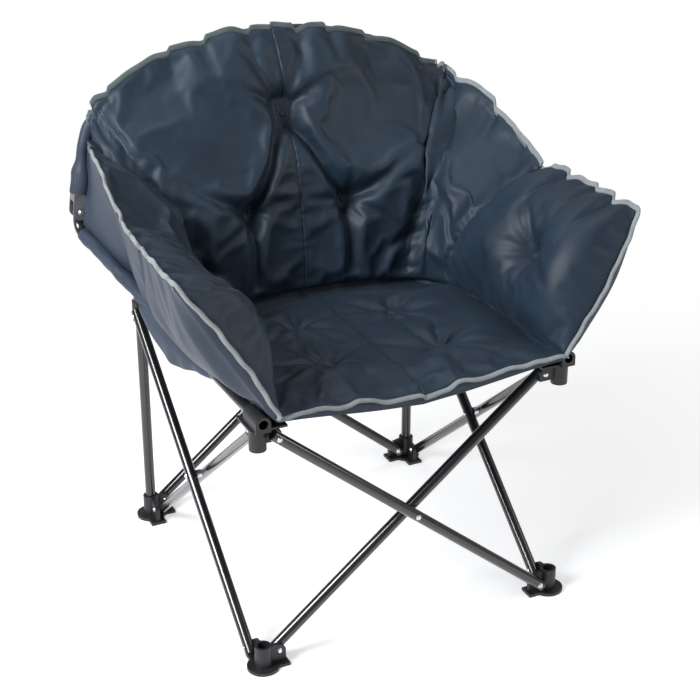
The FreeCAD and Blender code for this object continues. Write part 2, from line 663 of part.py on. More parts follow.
for name, hand in (("left", 1), ("right", -1)):
    label = "tongue_" + name
    behind = hand * (size("tongue_gap") + size("tongue_thickness")) / 2
    plug = new("Part::Cylinder", label + "_plug", Radius="tube_diameter / 2 - tube_wall - tongue_gap",
               Height="tongue_plug")
    into = Vector(-math.cos(tongue_tilt), 0, -math.sin(tongue_tilt))
    plug.Placement = Placement(mirrored(crown_end, hand), Rotation(Vector(0, 0, 1), mirrored(into, hand)))
    collar = new("Part::Cylinder", label + "_collar", Radius="tube_diameter / 2", Height="tongue_half / 4")
    collar.Placement = Placement(mirrored(crown_end, hand), Rotation(Vector(0, 0, 1), mirrored(into * -1, hand)))
    blade = new("Part::Box", label + "_blade", Length="tongue_half - tube_wall", Width="tongue_thickness",
                Height="2 * tongue_radius")
    blade_x = -size("tongue_half") + size("tube_wall") if hand > 0 else 0
    low_edge = hoop_top - size("tongue_radius")
    turned(blade, (blade_x, hoop_plane + behind - size("tongue_thickness") / 2, low_edge))
    nose = new("Part::Cylinder", label + "_nose", Radius="tongue_radius", Height="tongue_thickness")
    back_face = hoop_plane + behind + size("tongue_thickness") / 2
    turned(nose, (0, back_face, hoop_top), (1, 0, 0), 90)
    play = "rivet_diameter / 2 + tongue_play" if hand < 0 else "rivet_diameter / 2"
    hole = new("Part::Cylinder", label + "_hole", Radius=play, Height="tongue_thickness * 2")
    turned(hole, (0, back_face + size("tongue_thickness") / 2, hoop_top), (1, 0, 0), 90)
    tongue = cut(label, fused(label + "_body", [plug, collar, blade, nose]), hole)
    node(tongue, label)

pin = rivet("rivet_crown", "2 * tongue_thickness + 2 * tongue_gap")
pin_back = hoop_plane + size("tongue_gap") + size("tongue_thickness")
turned(pin, (0, pin_back, hoop_top), (1, 0, 0), 90)
node(pin, "rivet_crown")


# Pads. Each is a loft through sewn-edge sections: a straight outer side, two thin edges and a crowned face.


def section(foot_point, rim_point, inward, crown, foot_edge, rim_edge):
    """A closed section from the lower seam to the rim, full towards the sitter."""
    normal = Vector(inward).normalize()
    middle = (foot_point + rim_point) * 0.5 + normal * ((foot_edge + rim_edge) / 2 + crown)
    low_edge, high_edge = foot_point + normal * foot_edge, rim_point + normal * rim_edge
    return Part.Wire([
        Part.LineSegment(foot_point, rim_point).toShape(),
        Part.LineSegment(rim_point, high_edge).toShape(),
        Part.Arc(high_edge, middle, low_edge).toShape(),
        Part.LineSegment(low_edge, foot_point).toShape(),
    ])


def inward_at(stations, number):
    """The sitter's side of the wall at one station, square to the wall."""
    if number == 0:
        return Vector(0, -1, 0)
    before = stations[number - 1]
    after = stations[min(number + 1, len(stations) - 1)]
    along = (after[0] + after[1]) - (before[0] + before[1])
    climb = stations[number][1] - stations[number][0]
    normal = along.cross(climb).normalize()
    to_middle = (stations[number][0] + stations[number][1]) * -0.5
    to_middle.z = 0
    return normal if normal.dot(to_middle) > 0 else normal * -1


def dimple(point, outward):
    """A round hollow for a sewn tuft, with its floor at the tuft's depth under the face."""
    radius = size("tuft_radius")
    return Part.makeSphere(radius, point + outward.normalize() * (radius - size("tuft_depth")))


crease = high + size("crease_rise")
edge = size("pad_edge")
back_face = hoop_plane - tube_radius - size("pad_clearance")
lip = Vector(0, 0, size("rim_lip"))
notch = Vector(-size("notch_half"), size("notch_depth"), high + size("notch_rise"))
seam_foot = Vector(-size("seat_corner_half"), size("seat_corner_depth"), crease)
rear_foot = Vector(0, size("seat_rear"), crease)
arm_corner = Vector(-size("arm_half"), -size("arm_front"), high + size("arm_rise"))
arm_low = crease + size("arm_crease_rise")
side_half = corner - tube_radius - size("arm_foot_margin")


def crease_point(share):
    """Along the rear seam of the seat, from its middle to the arm seam, on a quarter of an ellipse."""
    angle = math.radians(90 * share)
    return Vector(-size("seat_corner_half") * math.sin(angle),
                  seam_foot.y + (rear_foot.y - seam_foot.y) * math.cos(angle), crease)


def arm_foot(share):
    """Along the lower seam of the arm, from the arm seam to the front, bowed out to the seat's side."""
    bow = math.sin(math.radians(90 * min(1, 2 * share)))
    return Vector(-size("seat_corner_half") - (side_half - size("seat_corner_half")) * bow,
                  seam_foot.y - (seam_foot.y + size("seat_front")) * share, crease + (arm_low - crease) * bow)


def before_hoop(point):
    """A rim point in front of the hoop, a lip above its axis."""
    return Vector(point.x, back_face, point.z) + lip


def down_to_notch(share):
    """The rim's fall from the shoulder to the notch, bowed outwards and upwards."""
    start = before_hoop(shoulder_start)
    bow = Vector(-size("rim_lip"), 0, size("wing_rise")) * (4 * share * (1 - share))
    return start * (1 - share) + notch * share + bow


# The wall from the middle of the back round to the arm's front: lower seam, rim and fullness at each station.
# The back and the arm share the station at their seam.
half_gap = Vector(size("pad_clearance"), 0, 0)
back_crown = size("back_crown")
arm_crown = size("arm_crown")
back_wall = [
    (crease_point(0) - half_gap, before_hoop(on_crown(0)) - half_gap, back_crown * 0.55),
    (crease_point(0.18), before_hoop(on_crown(crown_start * 0.3)), back_crown * 0.9),
    (crease_point(0.36), before_hoop(on_crown(crown_start * 0.65)), back_crown),
    (crease_point(0.52), before_hoop(shoulder_end), back_crown),
    (crease_point(0.66), before_hoop(shoulder_middle), back_crown * 0.95),
    (crease_point(0.78), before_hoop(shoulder_start), back_crown * 0.85),
    (crease_point(0.9), down_to_notch(0.5), back_crown * 0.7),
    (seam_foot, notch, arm_crown * 0.6),
]
arm_wall = [
    (arm_foot(0.25), notch * 0.75 + arm_corner * 0.25, arm_crown * 0.9),
    (arm_foot(0.5), notch * 0.5 + arm_corner * 0.5, arm_crown),
    (arm_foot(0.78), notch * 0.22 + arm_corner * 0.78, arm_crown * 0.9),
    (arm_foot(1), arm_corner, arm_crown * 0.45),
]
wall = back_wall + arm_wall
wall_sections = [section(low_point, rim, inward_at(wall, number), crown, edge, edge)
                 for number, (low_point, rim, crown) in enumerate(wall)]
back_sections = wall_sections[:len(back_wall)]
back_pad = Part.makeLoft(back_sections, True, True)
arm_start = back_sections[-1].copy()
arm_start.translate(Vector(0, -size("pad_gap"), 0))
arm_pad = Part.makeLoft([arm_start] + wall_sections[len(back_wall):], True, True)

# The seat's half runs from the front edge to the rear seam, and its outer edge stays inside the wall's foot.
front_half = corner - size("sleeve_diameter") / 2 - size("seat_margin")
plate_edge = corner - size("hub_plate_reach")
on_plate = 1 - plate_edge / front_half
plate_top = high + size("hub_plate_rise") + size("hub_plate_thickness")
seat_low = plate_top + size("pad_clearance") + size("seat_sag") * on_plate
seat_front = size("seat_front")
seat_crown = size("seat_crown")
inside = edge
# Rows of the seat from front to rear: depth, half width, fullness and a share of the edge's thickness.
seat_rows = [
    (-seat_front, front_half, 0.3, 0.8),
    (-0.8 * seat_front, front_half, 0.8, 1),
    (-0.4 * seat_front, side_half - inside, 1, 1),
    (0, side_half - inside, 1, 0.8),
    (seam_foot.y, size("seat_corner_half") - inside, 0.95, 0.4),
    (crease_point(0.75).y, -crease_point(0.75).x - inside, 0.85, 0.4),
    (crease_point(0.5).y, -crease_point(0.5).x - inside, 0.7, 0.4),
    (crease_point(0.2).y - size("pad_gap"), -crease_point(0.2).x - inside, 0.5, 0.4),
]
seat_wires = []
for depth, half, fill, edge_share in seat_rows:
    inner = Vector(-size("pad_clearance"), depth, seat_low - size("seat_sag"))
    outer = Vector(-half, depth, seat_low)
    outer_edge = size("seat_edge") * edge_share
    full_edge = outer_edge + seat_crown * fill
    seat_wires.append(section(outer, inner, Vector(0, 0, 1), seat_crown * fill * 0.3, outer_edge, full_edge))
seat_pad = Part.makeLoft(seat_wires, True, True)


def face_point(number, part_way, share):
    """A point on the wall's crowned face after one station, with the direction out of the pad."""
    low_point, rim, crown = (wall[number][k] * (1 - part_way) + wall[number + 1][k] * part_way for k in range(3))
    normal = inward_at(wall, number) * (1 - part_way) + inward_at(wall, number + 1) * part_way
    normal.normalize()
    return low_point + (rim - low_point) * share + normal * (crown * 4 * share * (1 - share) + edge), normal


# Sewn tufts: one on the back's middle, one on each back half and arm, two on each seat half.
for place in ((0, 0, 0.7), (0, 0.9, 0.36)):
    back_pad = back_pad.cut(dimple(*face_point(*place)))
arm_pad = arm_pad.cut(dimple(*face_point(len(back_wall) + 1, 0.1, 0.45)))
for half, depth in ((0.34, -0.06), (0.38, -0.58)):
    drop = size("seat_sag") * (1 - half)
    top = seat_low - drop + size("seat_edge") + seat_crown * (1.2 - half)
    seat_pad = seat_pad.cut(dimple(Vector(-half * side_half, depth * seat_front, top), Vector(0, 0, 1)))

for label, shape in (("seat_pad", seat_pad), ("back_pad", back_pad), ("arm_pad", arm_pad)):
    for name, hand in (("left", 1), ("right", -1)):
        piece = doc.addObject("Part::Feature", f"{label}_{name}")
        piece.Shape = shape if hand > 0 else shape.mirror(Vector(0, 0, 0), Vector(1, 0, 0))
        piece.Placement = Placement()
        node(piece, f"{label}_{name}")

doc.recompute()
for obj in doc.Objects:
    if "Invalid" in obj.State or "Error" in obj.State:
        raise RuntimeError(f"{obj.Label} failed: {obj.State}")
for obj in NODES:
    if obj.Shape.isNull() or not obj.Shape.isValid():
        raise RuntimeError(f"{obj.Label} has no valid shape")

os.makedirs("parts", exist_ok=True)
for obj in NODES:
    obj.Shape.exportStep(f"parts/{obj.Label}.step")
print(len(NODES), "nodes")
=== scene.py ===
import json
import math

import bmesh
import bpy
import numpy as np
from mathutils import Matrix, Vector


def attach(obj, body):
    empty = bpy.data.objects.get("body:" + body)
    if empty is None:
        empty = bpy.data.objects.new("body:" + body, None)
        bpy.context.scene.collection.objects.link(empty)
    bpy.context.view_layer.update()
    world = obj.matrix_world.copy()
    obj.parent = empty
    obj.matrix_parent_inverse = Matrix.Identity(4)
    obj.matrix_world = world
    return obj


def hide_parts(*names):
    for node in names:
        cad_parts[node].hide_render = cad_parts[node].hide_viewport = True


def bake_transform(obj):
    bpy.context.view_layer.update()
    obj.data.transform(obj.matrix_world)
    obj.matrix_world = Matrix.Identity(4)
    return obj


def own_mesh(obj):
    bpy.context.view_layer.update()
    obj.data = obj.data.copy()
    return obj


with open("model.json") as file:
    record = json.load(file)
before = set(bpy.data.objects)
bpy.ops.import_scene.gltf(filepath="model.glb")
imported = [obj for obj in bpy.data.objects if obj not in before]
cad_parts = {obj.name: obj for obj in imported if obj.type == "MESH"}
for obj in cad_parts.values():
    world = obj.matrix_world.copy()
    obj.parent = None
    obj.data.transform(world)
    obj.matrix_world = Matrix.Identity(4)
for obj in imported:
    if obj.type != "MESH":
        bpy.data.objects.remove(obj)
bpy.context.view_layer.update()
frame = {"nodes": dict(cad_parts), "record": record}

scene = bpy.context.scene
scene.view_settings.view_transform = "Standard"
rng = np.random.default_rng(11)

HANDS = (("left", 1), ("right", -1))
SIDE = {hand: name for name, hand in HANDS}
WHITE = (1, 1, 1, 1)

# Stations of the tub's wall on the left, from the middle of the back to the arm's front: lower seam, rim
# and fullness, in metres. They follow the solids, with the lower seam a little lower.
WALL = [
    ((0.0, 0.172, 0.49), (0.0, 0.3075, 0.966), 0.046),
    ((-0.0731, 0.1676, 0.49), (-0.1067, 0.3075, 0.9557), 0.066),
    ((-0.1404, 0.1546, 0.49), (-0.2259, 0.3075, 0.9184), 0.072),
    ((-0.191, 0.1367, 0.49), (-0.3339, 0.3075, 0.8556), 0.07),
    ((-0.2255, 0.117, 0.49), (-0.359, 0.3075, 0.8278), 0.07),
    ((-0.2465, 0.0979, 0.49), (-0.3713, 0.3075, 0.7925), 0.076),
    ((-0.2588, 0.0775, 0.491), (-0.3977, 0.1638, 0.8083), 0.076),
    ((-0.262, 0.06, 0.493), (-0.402, 0.02, 0.744), 0.068),
    ((-0.2726, -0.0385, 0.4985), (-0.4085, -0.06, 0.747), 0.074),
    ((-0.277, -0.137, 0.4995), (-0.415, -0.14, 0.75), 0.08),
    ((-0.277, -0.2473, 0.503), (-0.4223, -0.2296, 0.7534), 0.08),
    ((-0.275, -0.334, 0.508), (-0.428, -0.3, 0.756), 0.07),
]
FOOT, RIM, CROWN = (np.array([np.atleast_1d(row[k]) for row in WALL]) for k in range(3))
# Station numbers of the arm's rear seam, the arm's front and the seam between back and side panel.
NOTCH = 7.0
FRONT = 11.0
PANEL_SEAM = 3.15
# Thickness of the pads at the rim and at the foot.
RIM_EDGE, FOOT_EDGE = 0.005, 0.01
MIRROR = np.array([-1.0, 1.0, 1.0])
# How the slack rim stands off those stations on each hand, as in the photograph.
RIM_SHIFT = {1: np.zeros((12, 3)), -1: np.zeros((12, 3))}
RIM_SHIFT[1][1:] = [
    (0.0, 0.0, 0.009), (-0.002, 0.0, 0.017), (-0.004, 0.0, 0.02), (0.0, 0.0, 0.012), (0.004, 0.0, 0.0),
    (0.002, 0.0, -0.008), (0.0, 0.0, -0.004), (0.0, 0.0, -0.008), (0.0, 0.0, -0.008), (0.0, 0.0, -0.006),
    (0.0, 0.0, -0.002)]
RIM_SHIFT[-1][3:] = [
    (-0.002, 0.0, 0.006), (-0.006, 0.0, 0.02), (-0.006, 0.0, 0.048), (-0.002, 0.0, 0.006),
    (-0.003, -0.045, -0.005), (0.0, 0.0, -0.002), (0.0, 0.0, -0.006), (0.0, 0.0, -0.012), (0.0, 0.0, -0.02)]
# How the arm's front edge bows between rim and foot on each hand, and the station where the bow starts.
ARM_BOW = {1: (0.004, -0.008, 0.0), -1: (-0.003, -0.0155, 0.0)}
BOW_START = 9.0
# Pads' faces look towards this place, above the seat.
SITTER = np.array([0.0, -0.12, 0.95])


# Materials


def put(node, values):
    """Sets a node's own values and those of its inputs."""
    for key, value in values.items():
        if hasattr(node, key):
            setattr(node, key, value)
        else:
            node.inputs[key.replace("_", " ")].default_value = value


def new_material(name, **values):
    """A material with its tree and its shader, whose values are set."""
    mat = bpy.data.materials.new(name)
    mat.use_nodes = True
    shader = mat.node_tree.nodes["Principled BSDF"]
    put(shader, values)
    return mat, mat.node_tree, shader


def add(tree, kind, feeds=None, **values):
    """A new node with its values set, and with the sockets that feed its inputs linked."""
    made = tree.nodes.new("ShaderNode" + kind)
    put(made, values)
    for key, source in (feeds or {}).items():
        tree.links.new(source, made.inputs[key])
    return made


def noise(tree, place, scale, detail, **values):
    """A noise over the object's own coordinates."""
    return add(tree, "TexNoise", {"Vector": place.outputs["Object"]},
               Scale=scale, Detail=detail, **values).outputs["Fac"]


def two_tone(tree, shader, source, dark, light, low=0.3, high=0.7):
    """Colour that wanders between two tones with a texture."""
    ramp = add(tree, "ValToRGB", {"Fac": source})
    for number, (position, colour) in enumerate(((low, dark), (high, light))):
        ramp.color_ramp.elements[number].position = position
        ramp.color_ramp.elements[number].color = (*colour, 1)
    tree.links.new(ramp.outputs["Color"], shader.inputs["Base Color"])


def bump_chain(tree, shader, layers):
    """Bumps laid over one another: (height socket, strength, distance)."""
    below = {}
    for height, strength, distance in layers:
        bump = add(tree, "Bump", {"Height": height, **below}, Strength=strength, Distance=distance)
        below = {"Normal": bump.outputs["Normal"]}
    tree.links.new(below["Normal"], shader.inputs["Normal"])


def rough_range(tree, shader, source, low, high):
    span = add(tree, "MapRange", {"Value": source}, To_Min=low, To_Max=high)
    tree.links.new(span.outputs["Result"], shader.inputs["Roughness"])


def mottled(name, dark, light, rough, scale, detail, grain, **values):
    """A material whose colour and roughness wander with one noise."""
    mat, tree, shader = new_material(name, **values)
    place = add(tree, "TexCoord")
    spots = noise(tree, place, scale, detail, Roughness=grain)
    two_tone(tree, shader, spots, dark, light)
    rough_range(tree, shader, spots, *rough)
    return mat, tree, shader, place


def fabric(name, dark, light, rough=(0.46, 0.6), weave=1.0, crumple=1.0):
    """Coated polyester: a fine plain weave, a satin sheen and faint crumples."""
    mat, tree, shader, place = mottled(
        name, dark, light, rough, 9.0, 5.0, 0.6,
        Specular_IOR_Level=0.36, Sheen_Weight=0.03, Sheen_Roughness=0.4)
    threads = [add(tree, "TexWave", {"Vector": place.outputs["UV"]}, bands_direction=direction,
                   Scale=330.0, Distortion=0.6, Detail=1.0).outputs["Fac"] for direction in ("X", "Y")]
    cloth = add(tree, "Math", dict(enumerate(threads)), operation="MAXIMUM")
    folds = noise(tree, place, 13.0, 3.0, Distortion=0.5)
    bump_chain(tree, shader, [(folds, 0.12 * crumple, 0.01), (cloth.outputs["Value"], 0.16 * weave, 0.0004)])
    return mat


def painted(name, dark, light, rough, coat, grain_scale, grain):
    """Powder coat or moulded plastic: a fine grain under a sheen."""
    mat, tree, shader, place = mottled(
        name, dark, light, rough, 26.0, 6.0, 0.65,
        Specular_IOR_Level=0.5, Coat_Weight=coat, Coat_Roughness=0.12)
    bump_chain(tree, shader, [(noise(tree, place, grain_scale, 2.0), grain, 0.0004)])
    return mat


def metal(name, dark, light, rough):
    """Plated steel with fine scratches."""
    mat, tree, shader, place = mottled(
        name, dark, light, rough, 90.0, 6.0, 0.7, Metallic=1.0, Specular_IOR_Level=0.5)
    stretch = add(tree, "Mapping", {"Vector": place.outputs["Object"]}, Scale=(400, 400, 30))
    scratch = add(tree, "TexNoise", {"Vector": stretch.outputs["Vector"]}, Scale=3.0, Detail=3.0)
    bump_chain(tree, shader, [(scratch.outputs["Fac"], 0.12, 0.0002)])
    return mat


def ribbed(name, dark, light):
    """Grosgrain tape: ribs across its length, from the UVs in metres."""
    mat, tree, shader = new_material(name, Specular_IOR_Level=0.35, Sheen_Weight=0.2, Sheen_Roughness=0.5)
    place = add(tree, "TexCoord")
    tone = noise(tree, place, 40.0, 4.0, Roughness=0.6)
    rib = add(tree, "TexWave", {"Vector": place.outputs["UV"]}, bands_direction="X",
              Scale=190.0, Distortion=0.4).outputs["Fac"]
    both = add(tree, "Mix", {"A": tone, "B": rib}, data_type="FLOAT", Factor=0.45)
    two_tone(tree, shader, both.outputs["Result"], dark, light, 0.2, 0.8)
    rough_range(tree, shader, tone, 0.6, 0.85)
    bump_chain(tree, shader, [(rib, 0.5, 0.0008)])
    return mat


CLOTH = fabric("satin_cloth", (0.0085, 0.0185, 0.0335), (0.017, 0.034, 0.056))
COVER = fabric("cover_cloth", (0.021, 0.032, 0.052), (0.038, 0.053, 0.08), rough=(0.42, 0.6))
TAPE = ribbed("ribbed_tape", (0.16, 0.18, 0.185), (0.34, 0.37, 0.375))
# A darker copy of the grey tape: painted shade on the back's rim, where the rim faces away from the light. It
# also colours the dark stitches on the grey tapes.
SHADED_TAPE_AND_THREAD = ribbed("rim_tape_painted_shade_and_thread", (0.05, 0.07, 0.072), (0.105, 0.135, 0.135))
THREAD = fabric("sewing_thread", (0.016, 0.024, 0.036), (0.03, 0.042, 0.058), weave=0.3, crumple=0.2)
TUBE = painted("black_powder_coat", (0.005, 0.005, 0.006), (0.011, 0.011, 0.012), (0.16, 0.26), 0.7, 900,
               0.06)
PLASTIC = painted("black_moulding", (0.012, 0.012, 0.013), (0.024, 0.024, 0.026), (0.36, 0.52), 0.0, 1500,
                  0.16)
RIVET = metal("bright_rivet", (0.55, 0.56, 0.58), (0.82, 0.83, 0.84), (0.22, 0.38))
BRACKET = metal("plated_bracket", (0.22, 0.215, 0.23), (0.36, 0.35, 0.37), (0.34, 0.52))

SLOT_MATERIALS = {
    "black_tube": TUBE, "slider_steel": TUBE, "black_plastic": PLASTIC,
    "rivet_steel": RIVET, "grey_bracket": BRACKET,
}


# Shapes of the tub


def unit(vectors):
    return vectors / np.maximum(np.linalg.norm(vectors, axis=-1, keepdims=True), 1e-9)


def gaps(points, place):
    return np.linalg.norm(points - place, axis=-1)


def ease(x):
    """A smooth step from 0 to 1."""
    x = np.clip(x, 0, 1)
    return x * x * (3 - 2 * x)


def path_lengths(path):
    """How far along a path each of its points is."""
    return np.concatenate([[0], np.cumsum(np.linalg.norm(np.diff(path, axis=0), axis=1))])


def between(where, knots, values):
    """Values in columns, between their knots."""
    return np.stack([np.interp(where, knots, column) for column in values.T], axis=-1)


def spline(stations, where, ghost_first):
    """A Catmull-Rom curve through the stations, at fractional station numbers."""
    ghost_last = 2 * stations[-1] - stations[-2]
    padded = np.concatenate([ghost_first[None], stations, ghost_last[None]])
    index = np.clip(np.floor(where).astype(int), 0, len(stations) - 2)
    t = (where - index).reshape(where.shape + (1,) * (stations.ndim - 1))
    a, b, c, d = (padded[index + k] for k in range(4))
    square, cube = 2 * a - 5 * b + 4 * c - d, 3 * b - a - 3 * c + d
    return 0.5 * (2 * b + (c - a) * t + square * t ** 2 + cube * t ** 3)


# Gathers: places along the rim where the sewn edge puckers, as station numbers with a strength.
GATHER_DEPTH, GATHER_BEFORE, GATHER_AFTER = 0.013, 0.035, 0.2
GATHERS = {}
for _, hand in HANDS:
    places, at = [], 0.45
    while at < FRONT - 0.3:
        places.append((at, rng.uniform(0.5, 1.0)))
        at += rng.uniform(0.55, 1.05)
    GATHERS[hand] = places


def rim_dip(u, hand):
    """How far the rim is drawn in at the gathers, with a slow waver."""
    dip = 0.0015 * np.sin(u * 5.1 + hand) + 0.001 * np.sin(u * 11.3 + 2 * hand)
    for at, strength in GATHERS[hand]:
        width = np.where(u > at, GATHER_AFTER, GATHER_BEFORE)
        dip = dip + GATHER_DEPTH * strength * np.exp(-((u - at) / width) ** 2)
    return dip[..., None]


def outer_at(u, v, hand):
    """The outer side of the wall, on the left, before it is mirrored."""
    foot, rim = (spline(line, u, line[1] * MIRROR) for line in (FOOT, RIM))
    rim = rim - unit(rim - foot) * rim_dip(u, hand)
    rim = rim + spline(RIM_SHIFT[hand], u, RIM_SHIFT[hand][1])
    near_front = np.clip((u - BOW_START) / (FRONT - BOW_START), 0, 1) ** 2
    bow = (near_front * np.sin(np.pi * v))[..., None]
    return foot + (rim - foot) * v[..., None] + bow * np.array(ARM_BOW[hand])


def inward_normals(points):
    """Unit normals of a grid of points, towards the sitter."""
    normal = unit(np.cross(np.gradient(points, axis=0), np.gradient(points, axis=1)))
    flip = np.sum(normal * (SITTER - points), axis=-1, keepdims=True)
    return np.where(flip < 0, -normal, normal)


def polyline_distance(points, line):
    """Distance of points from a polyline, and how far along it the nearest place is, from 0 to 1."""
    done = path_lengths(line)
    best, share = np.full(points.shape[:-1], np.inf), np.zeros(points.shape[:-1])
    for start, end, before, after in zip(line[:-1], line[1:], done[:-1], done[1:]):
        way, length = end - start, after - before
        t = np.clip((points - start) @ way / max(length ** 2, 1e-12), 0, 1)
        gap = gaps(points, start + t[..., None] * way)
        share = np.where(gap < best, (before + t * length) / done[-1], share)
        best = np.minimum(best, gap)
    return best, share


def valley(points, line, depth, width, fade):
    """Depth of a crease along a line; fade says how it dies out towards the line's end."""
    gap, share = polyline_distance(points, np.asarray(line, float))
    return depth * np.exp(-(gap / width) ** 2) * np.maximum(1 - share, 0) ** fade


def tuft_hollow(points, centre, depth, radius):
    return depth * np.exp(-(gaps(points, centre) / radius) ** 1.3)


RAY_WIDTH, RAY_FADE = 0.0085, 0.8


def ray_creases(points, normals, centre, count, reach, depth, seed):
    """Short creases that run out from a tuft over the face."""
    draw = np.random.default_rng(seed)
    near = gaps(points, centre)
    normal = normals[np.unravel_index(np.argmin(near), near.shape)]
    side = unit(np.cross(normal, [0.2, 0.1, 1.0]))
    over = np.cross(normal, side)
    total = np.zeros(points.shape[:-1])
    for number in range(count):
        angle = 2 * np.pi * (number + draw.uniform(-0.28, 0.28)) / count
        bend = draw.uniform(-0.35, 0.35)
        half = reach * draw.uniform(0.6, 1.15) / 2
        bent = centre + (np.cos(angle) * side + np.sin(angle) * over) * half
        line = [centre, bent, bent + (np.cos(angle + bend) * side + np.sin(angle + bend) * over) * half]
        total = np.maximum(total, valley(points, line, depth * draw.uniform(0.6, 1.1), RAY_WIDTH, RAY_FADE))
    return total


CLOTH_SETTINGS = dict(quality=5, mass=0.25, air_damping=2.0, tension_stiffness=14, compression_stiffness=10,
                      shear_stiffness=6, bending_stiffness=2.5, vertex_group_mass="held", pin_stiffness=1.0,
                      use_pressure=True, uniform_pressure_force=5.0)
SWELL_FRAMES = 24
# How much longer each pad's cloth is than its face, and how far it may rise.
SWELL = {"back": (0.035, 0.026), "arm": (0.035, 0.022), "seat": (0.04, 0.021)}


def swell(name, rest, pins):
    """Blows up one face of a pad as cloth, held at its pins, and gives back the moved grid."""
    slack, cap = SWELL[name]
    obj = grid_object(name + "_cloth", rest)
    group = obj.vertex_groups.new(name="held")
    for number, weight in enumerate(pins.reshape(-1)):
        if weight > 0:
            group.add([number], float(weight), "REPLACE")
    cloth = obj.modifiers.new("Cloth", "CLOTH")
    for key, value in CLOTH_SETTINGS.items():
        setattr(cloth.settings, key, value)
    cloth.settings.shrink_min = -slack
    cloth.settings.effector_weights.gravity = 0
    cloth.collision_settings.use_collision = False
    cloth.collision_settings.use_self_collision = False
    cloth.point_cache.frame_start = 1
    cloth.point_cache.frame_end = SWELL_FRAMES
    for number in range(1, SWELL_FRAMES + 1):
        scene.frame_set(number)
    done = obj.evaluated_get(bpy.context.evaluated_depsgraph_get()).to_mesh()
    moved = np.empty(len(done.vertices) * 3)
    done.vertices.foreach_get("co", moved)
    bpy.data.objects.remove(obj)
    scene.frame_set(1)
    move = moved.reshape(rest.shape) - rest
    size = np.linalg.norm(move, axis=-1, keepdims=True)
    return rest + move * (cap * np.tanh(size / cap) / np.maximum(size, 1e-9))


def grid_faces(rows, columns, start=0):
    number = np.arange(rows * columns).reshape(rows, columns) + start
    corners = [number[:-1, :-1], number[1:, :-1], number[1:, 1:], number[:-1, 1:]]
    return np.stack(corners, axis=-1).reshape(-1, 4)


def add_mesh(name, points, faces):
    mesh = bpy.data.meshes.new(name)
    mesh.from_pydata(points, [], faces)
    obj = bpy.data.objects.new(name, mesh)
    scene.collection.objects.link(obj)
    return obj


def grid_object(name, points):
    return add_mesh(name, points.reshape(-1, 3).tolist(), grid_faces(*points.shape[:2]).tolist())


def uv_from_grid(points):
    """Lengths along both ways of a grid, in metres."""
    along = np.linalg.norm(np.diff(points, axis=0), axis=-1).mean(axis=1)
    across = np.linalg.norm(np.diff(points, axis=1), axis=-1).mean(axis=0)
    u = np.concatenate([[0], np.cumsum(along)])
    v = np.concatenate([[0], np.cumsum(across)])
    return np.stack(np.meshgrid(u, v, indexing="ij"), axis=-1)


def finish_mesh(obj, material, uv=None):
    mesh = obj.data
    made = bmesh.new()
    made.from_mesh(mesh)
    bmesh.ops.recalc_face_normals(made, faces=made.faces)
    made.to_mesh(mesh)
    made.free()
    mesh.polygons.foreach_set("use_smooth", np.ones(len(mesh.polygons), bool))
    if uv is not None:
        layer = mesh.uv_layers.new(name="metres")
        corner = np.empty(len(mesh.loops), int)
        mesh.loops.foreach_get("vertex_index", corner)
        layer.data.foreach_set("uv", uv.reshape(-1, 2)[corner].astype(np.float32).reshape(-1))
    mesh.materials.append(material)
    return obj


def shell(name, face, back):
    """A closed pad from the grid of its face and the grid of its back."""
    rows, columns = face.shape[:2]
    count = rows * columns
    number = np.arange(count).reshape(rows, columns)
    border = np.concatenate([number[:-1, 0], number[-1, :-1], number[:0:-1, -1], number[0, :0:-1]])
    after = np.roll(border, -1)
    walls = np.stack([border, after, after + count, border + count], axis=-1)
    faces = np.concatenate([grid_faces(rows, columns), grid_faces(rows, columns, count)[:, ::-1], walls])
    points = np.concatenate([face.reshape(-1, 3), back.reshape(-1, 3)])
    obj = add_mesh(name, points.tolist(), faces.tolist())
    mesh = obj.data
    uv = uv_from_grid(face).reshape(-1, 2)
    finish_mesh(obj, CLOTH, np.concatenate([uv, uv]))
    mesh.materials.append(COVER)
    outside = np.zeros(len(faces), np.int32)
    outside[(rows - 1) * (columns - 1):2 * (rows - 1) * (columns - 1)] = 1
    mesh.polygons.foreach_set("material_index", outside)
    ends = np.empty(len(mesh.edges) * 2, int)
    mesh.edges.foreach_get("vertices", ends)
    keen = np.isin(ends.reshape(-1, 2), np.concatenate([border, border + count])).all(axis=1).astype(float)
    mesh.attributes.new("crease_edge", "FLOAT", "EDGE").data.foreach_set("value", keen)
    smooth = obj.modifiers.new("Smooth", "SUBSURF")
    smooth.levels = smooth.render_levels = 1
    return obj


def signed(points, hand):
    return points if hand > 0 else points * MIRROR


# At the shoulder the wall turns on itself. Up to the first of these stations its face looks a little
# forwards, and from the second on it may look anywhere.
SHOULDER_STATIONS, SHOULDER_REARWARD = [5.0, 5.8], [-0.1, 1.0]
# The arm thins out towards its front, over this many stations and to this share of its fullness.
THIN_STATIONS, THIN_SHARE = 0.75, 0.12


def wall_grid(u, v, hand):
    """Outer points, normals and crowned face of the wall over a grid of stations."""
    uu, vv = np.meshgrid(u, v, indexing="ij")
    back = outer_at(uu, vv, hand)
    normal = inward_normals(back)
    normal[..., 1] = np.minimum(normal[..., 1], np.interp(uu, SHOULDER_STATIONS, SHOULDER_REARWARD))
    normal = unit(normal)
    edge = FOOT_EDGE + (RIM_EDGE - FOOT_EDGE) * vv
    full = spline(CROWN, uu, CROWN[1])[..., 0] * np.sin(np.pi * np.clip(vv, 0, 1)) ** 0.75
    thick = np.sqrt(np.sin(np.pi / 2 * np.clip((FRONT - uu) / THIN_STATIONS, 0, 1)))
    full = full * (THIN_SHARE + (1 - THIN_SHARE) * thick)
    return back, normal, back + normal * (edge + full)[..., None]


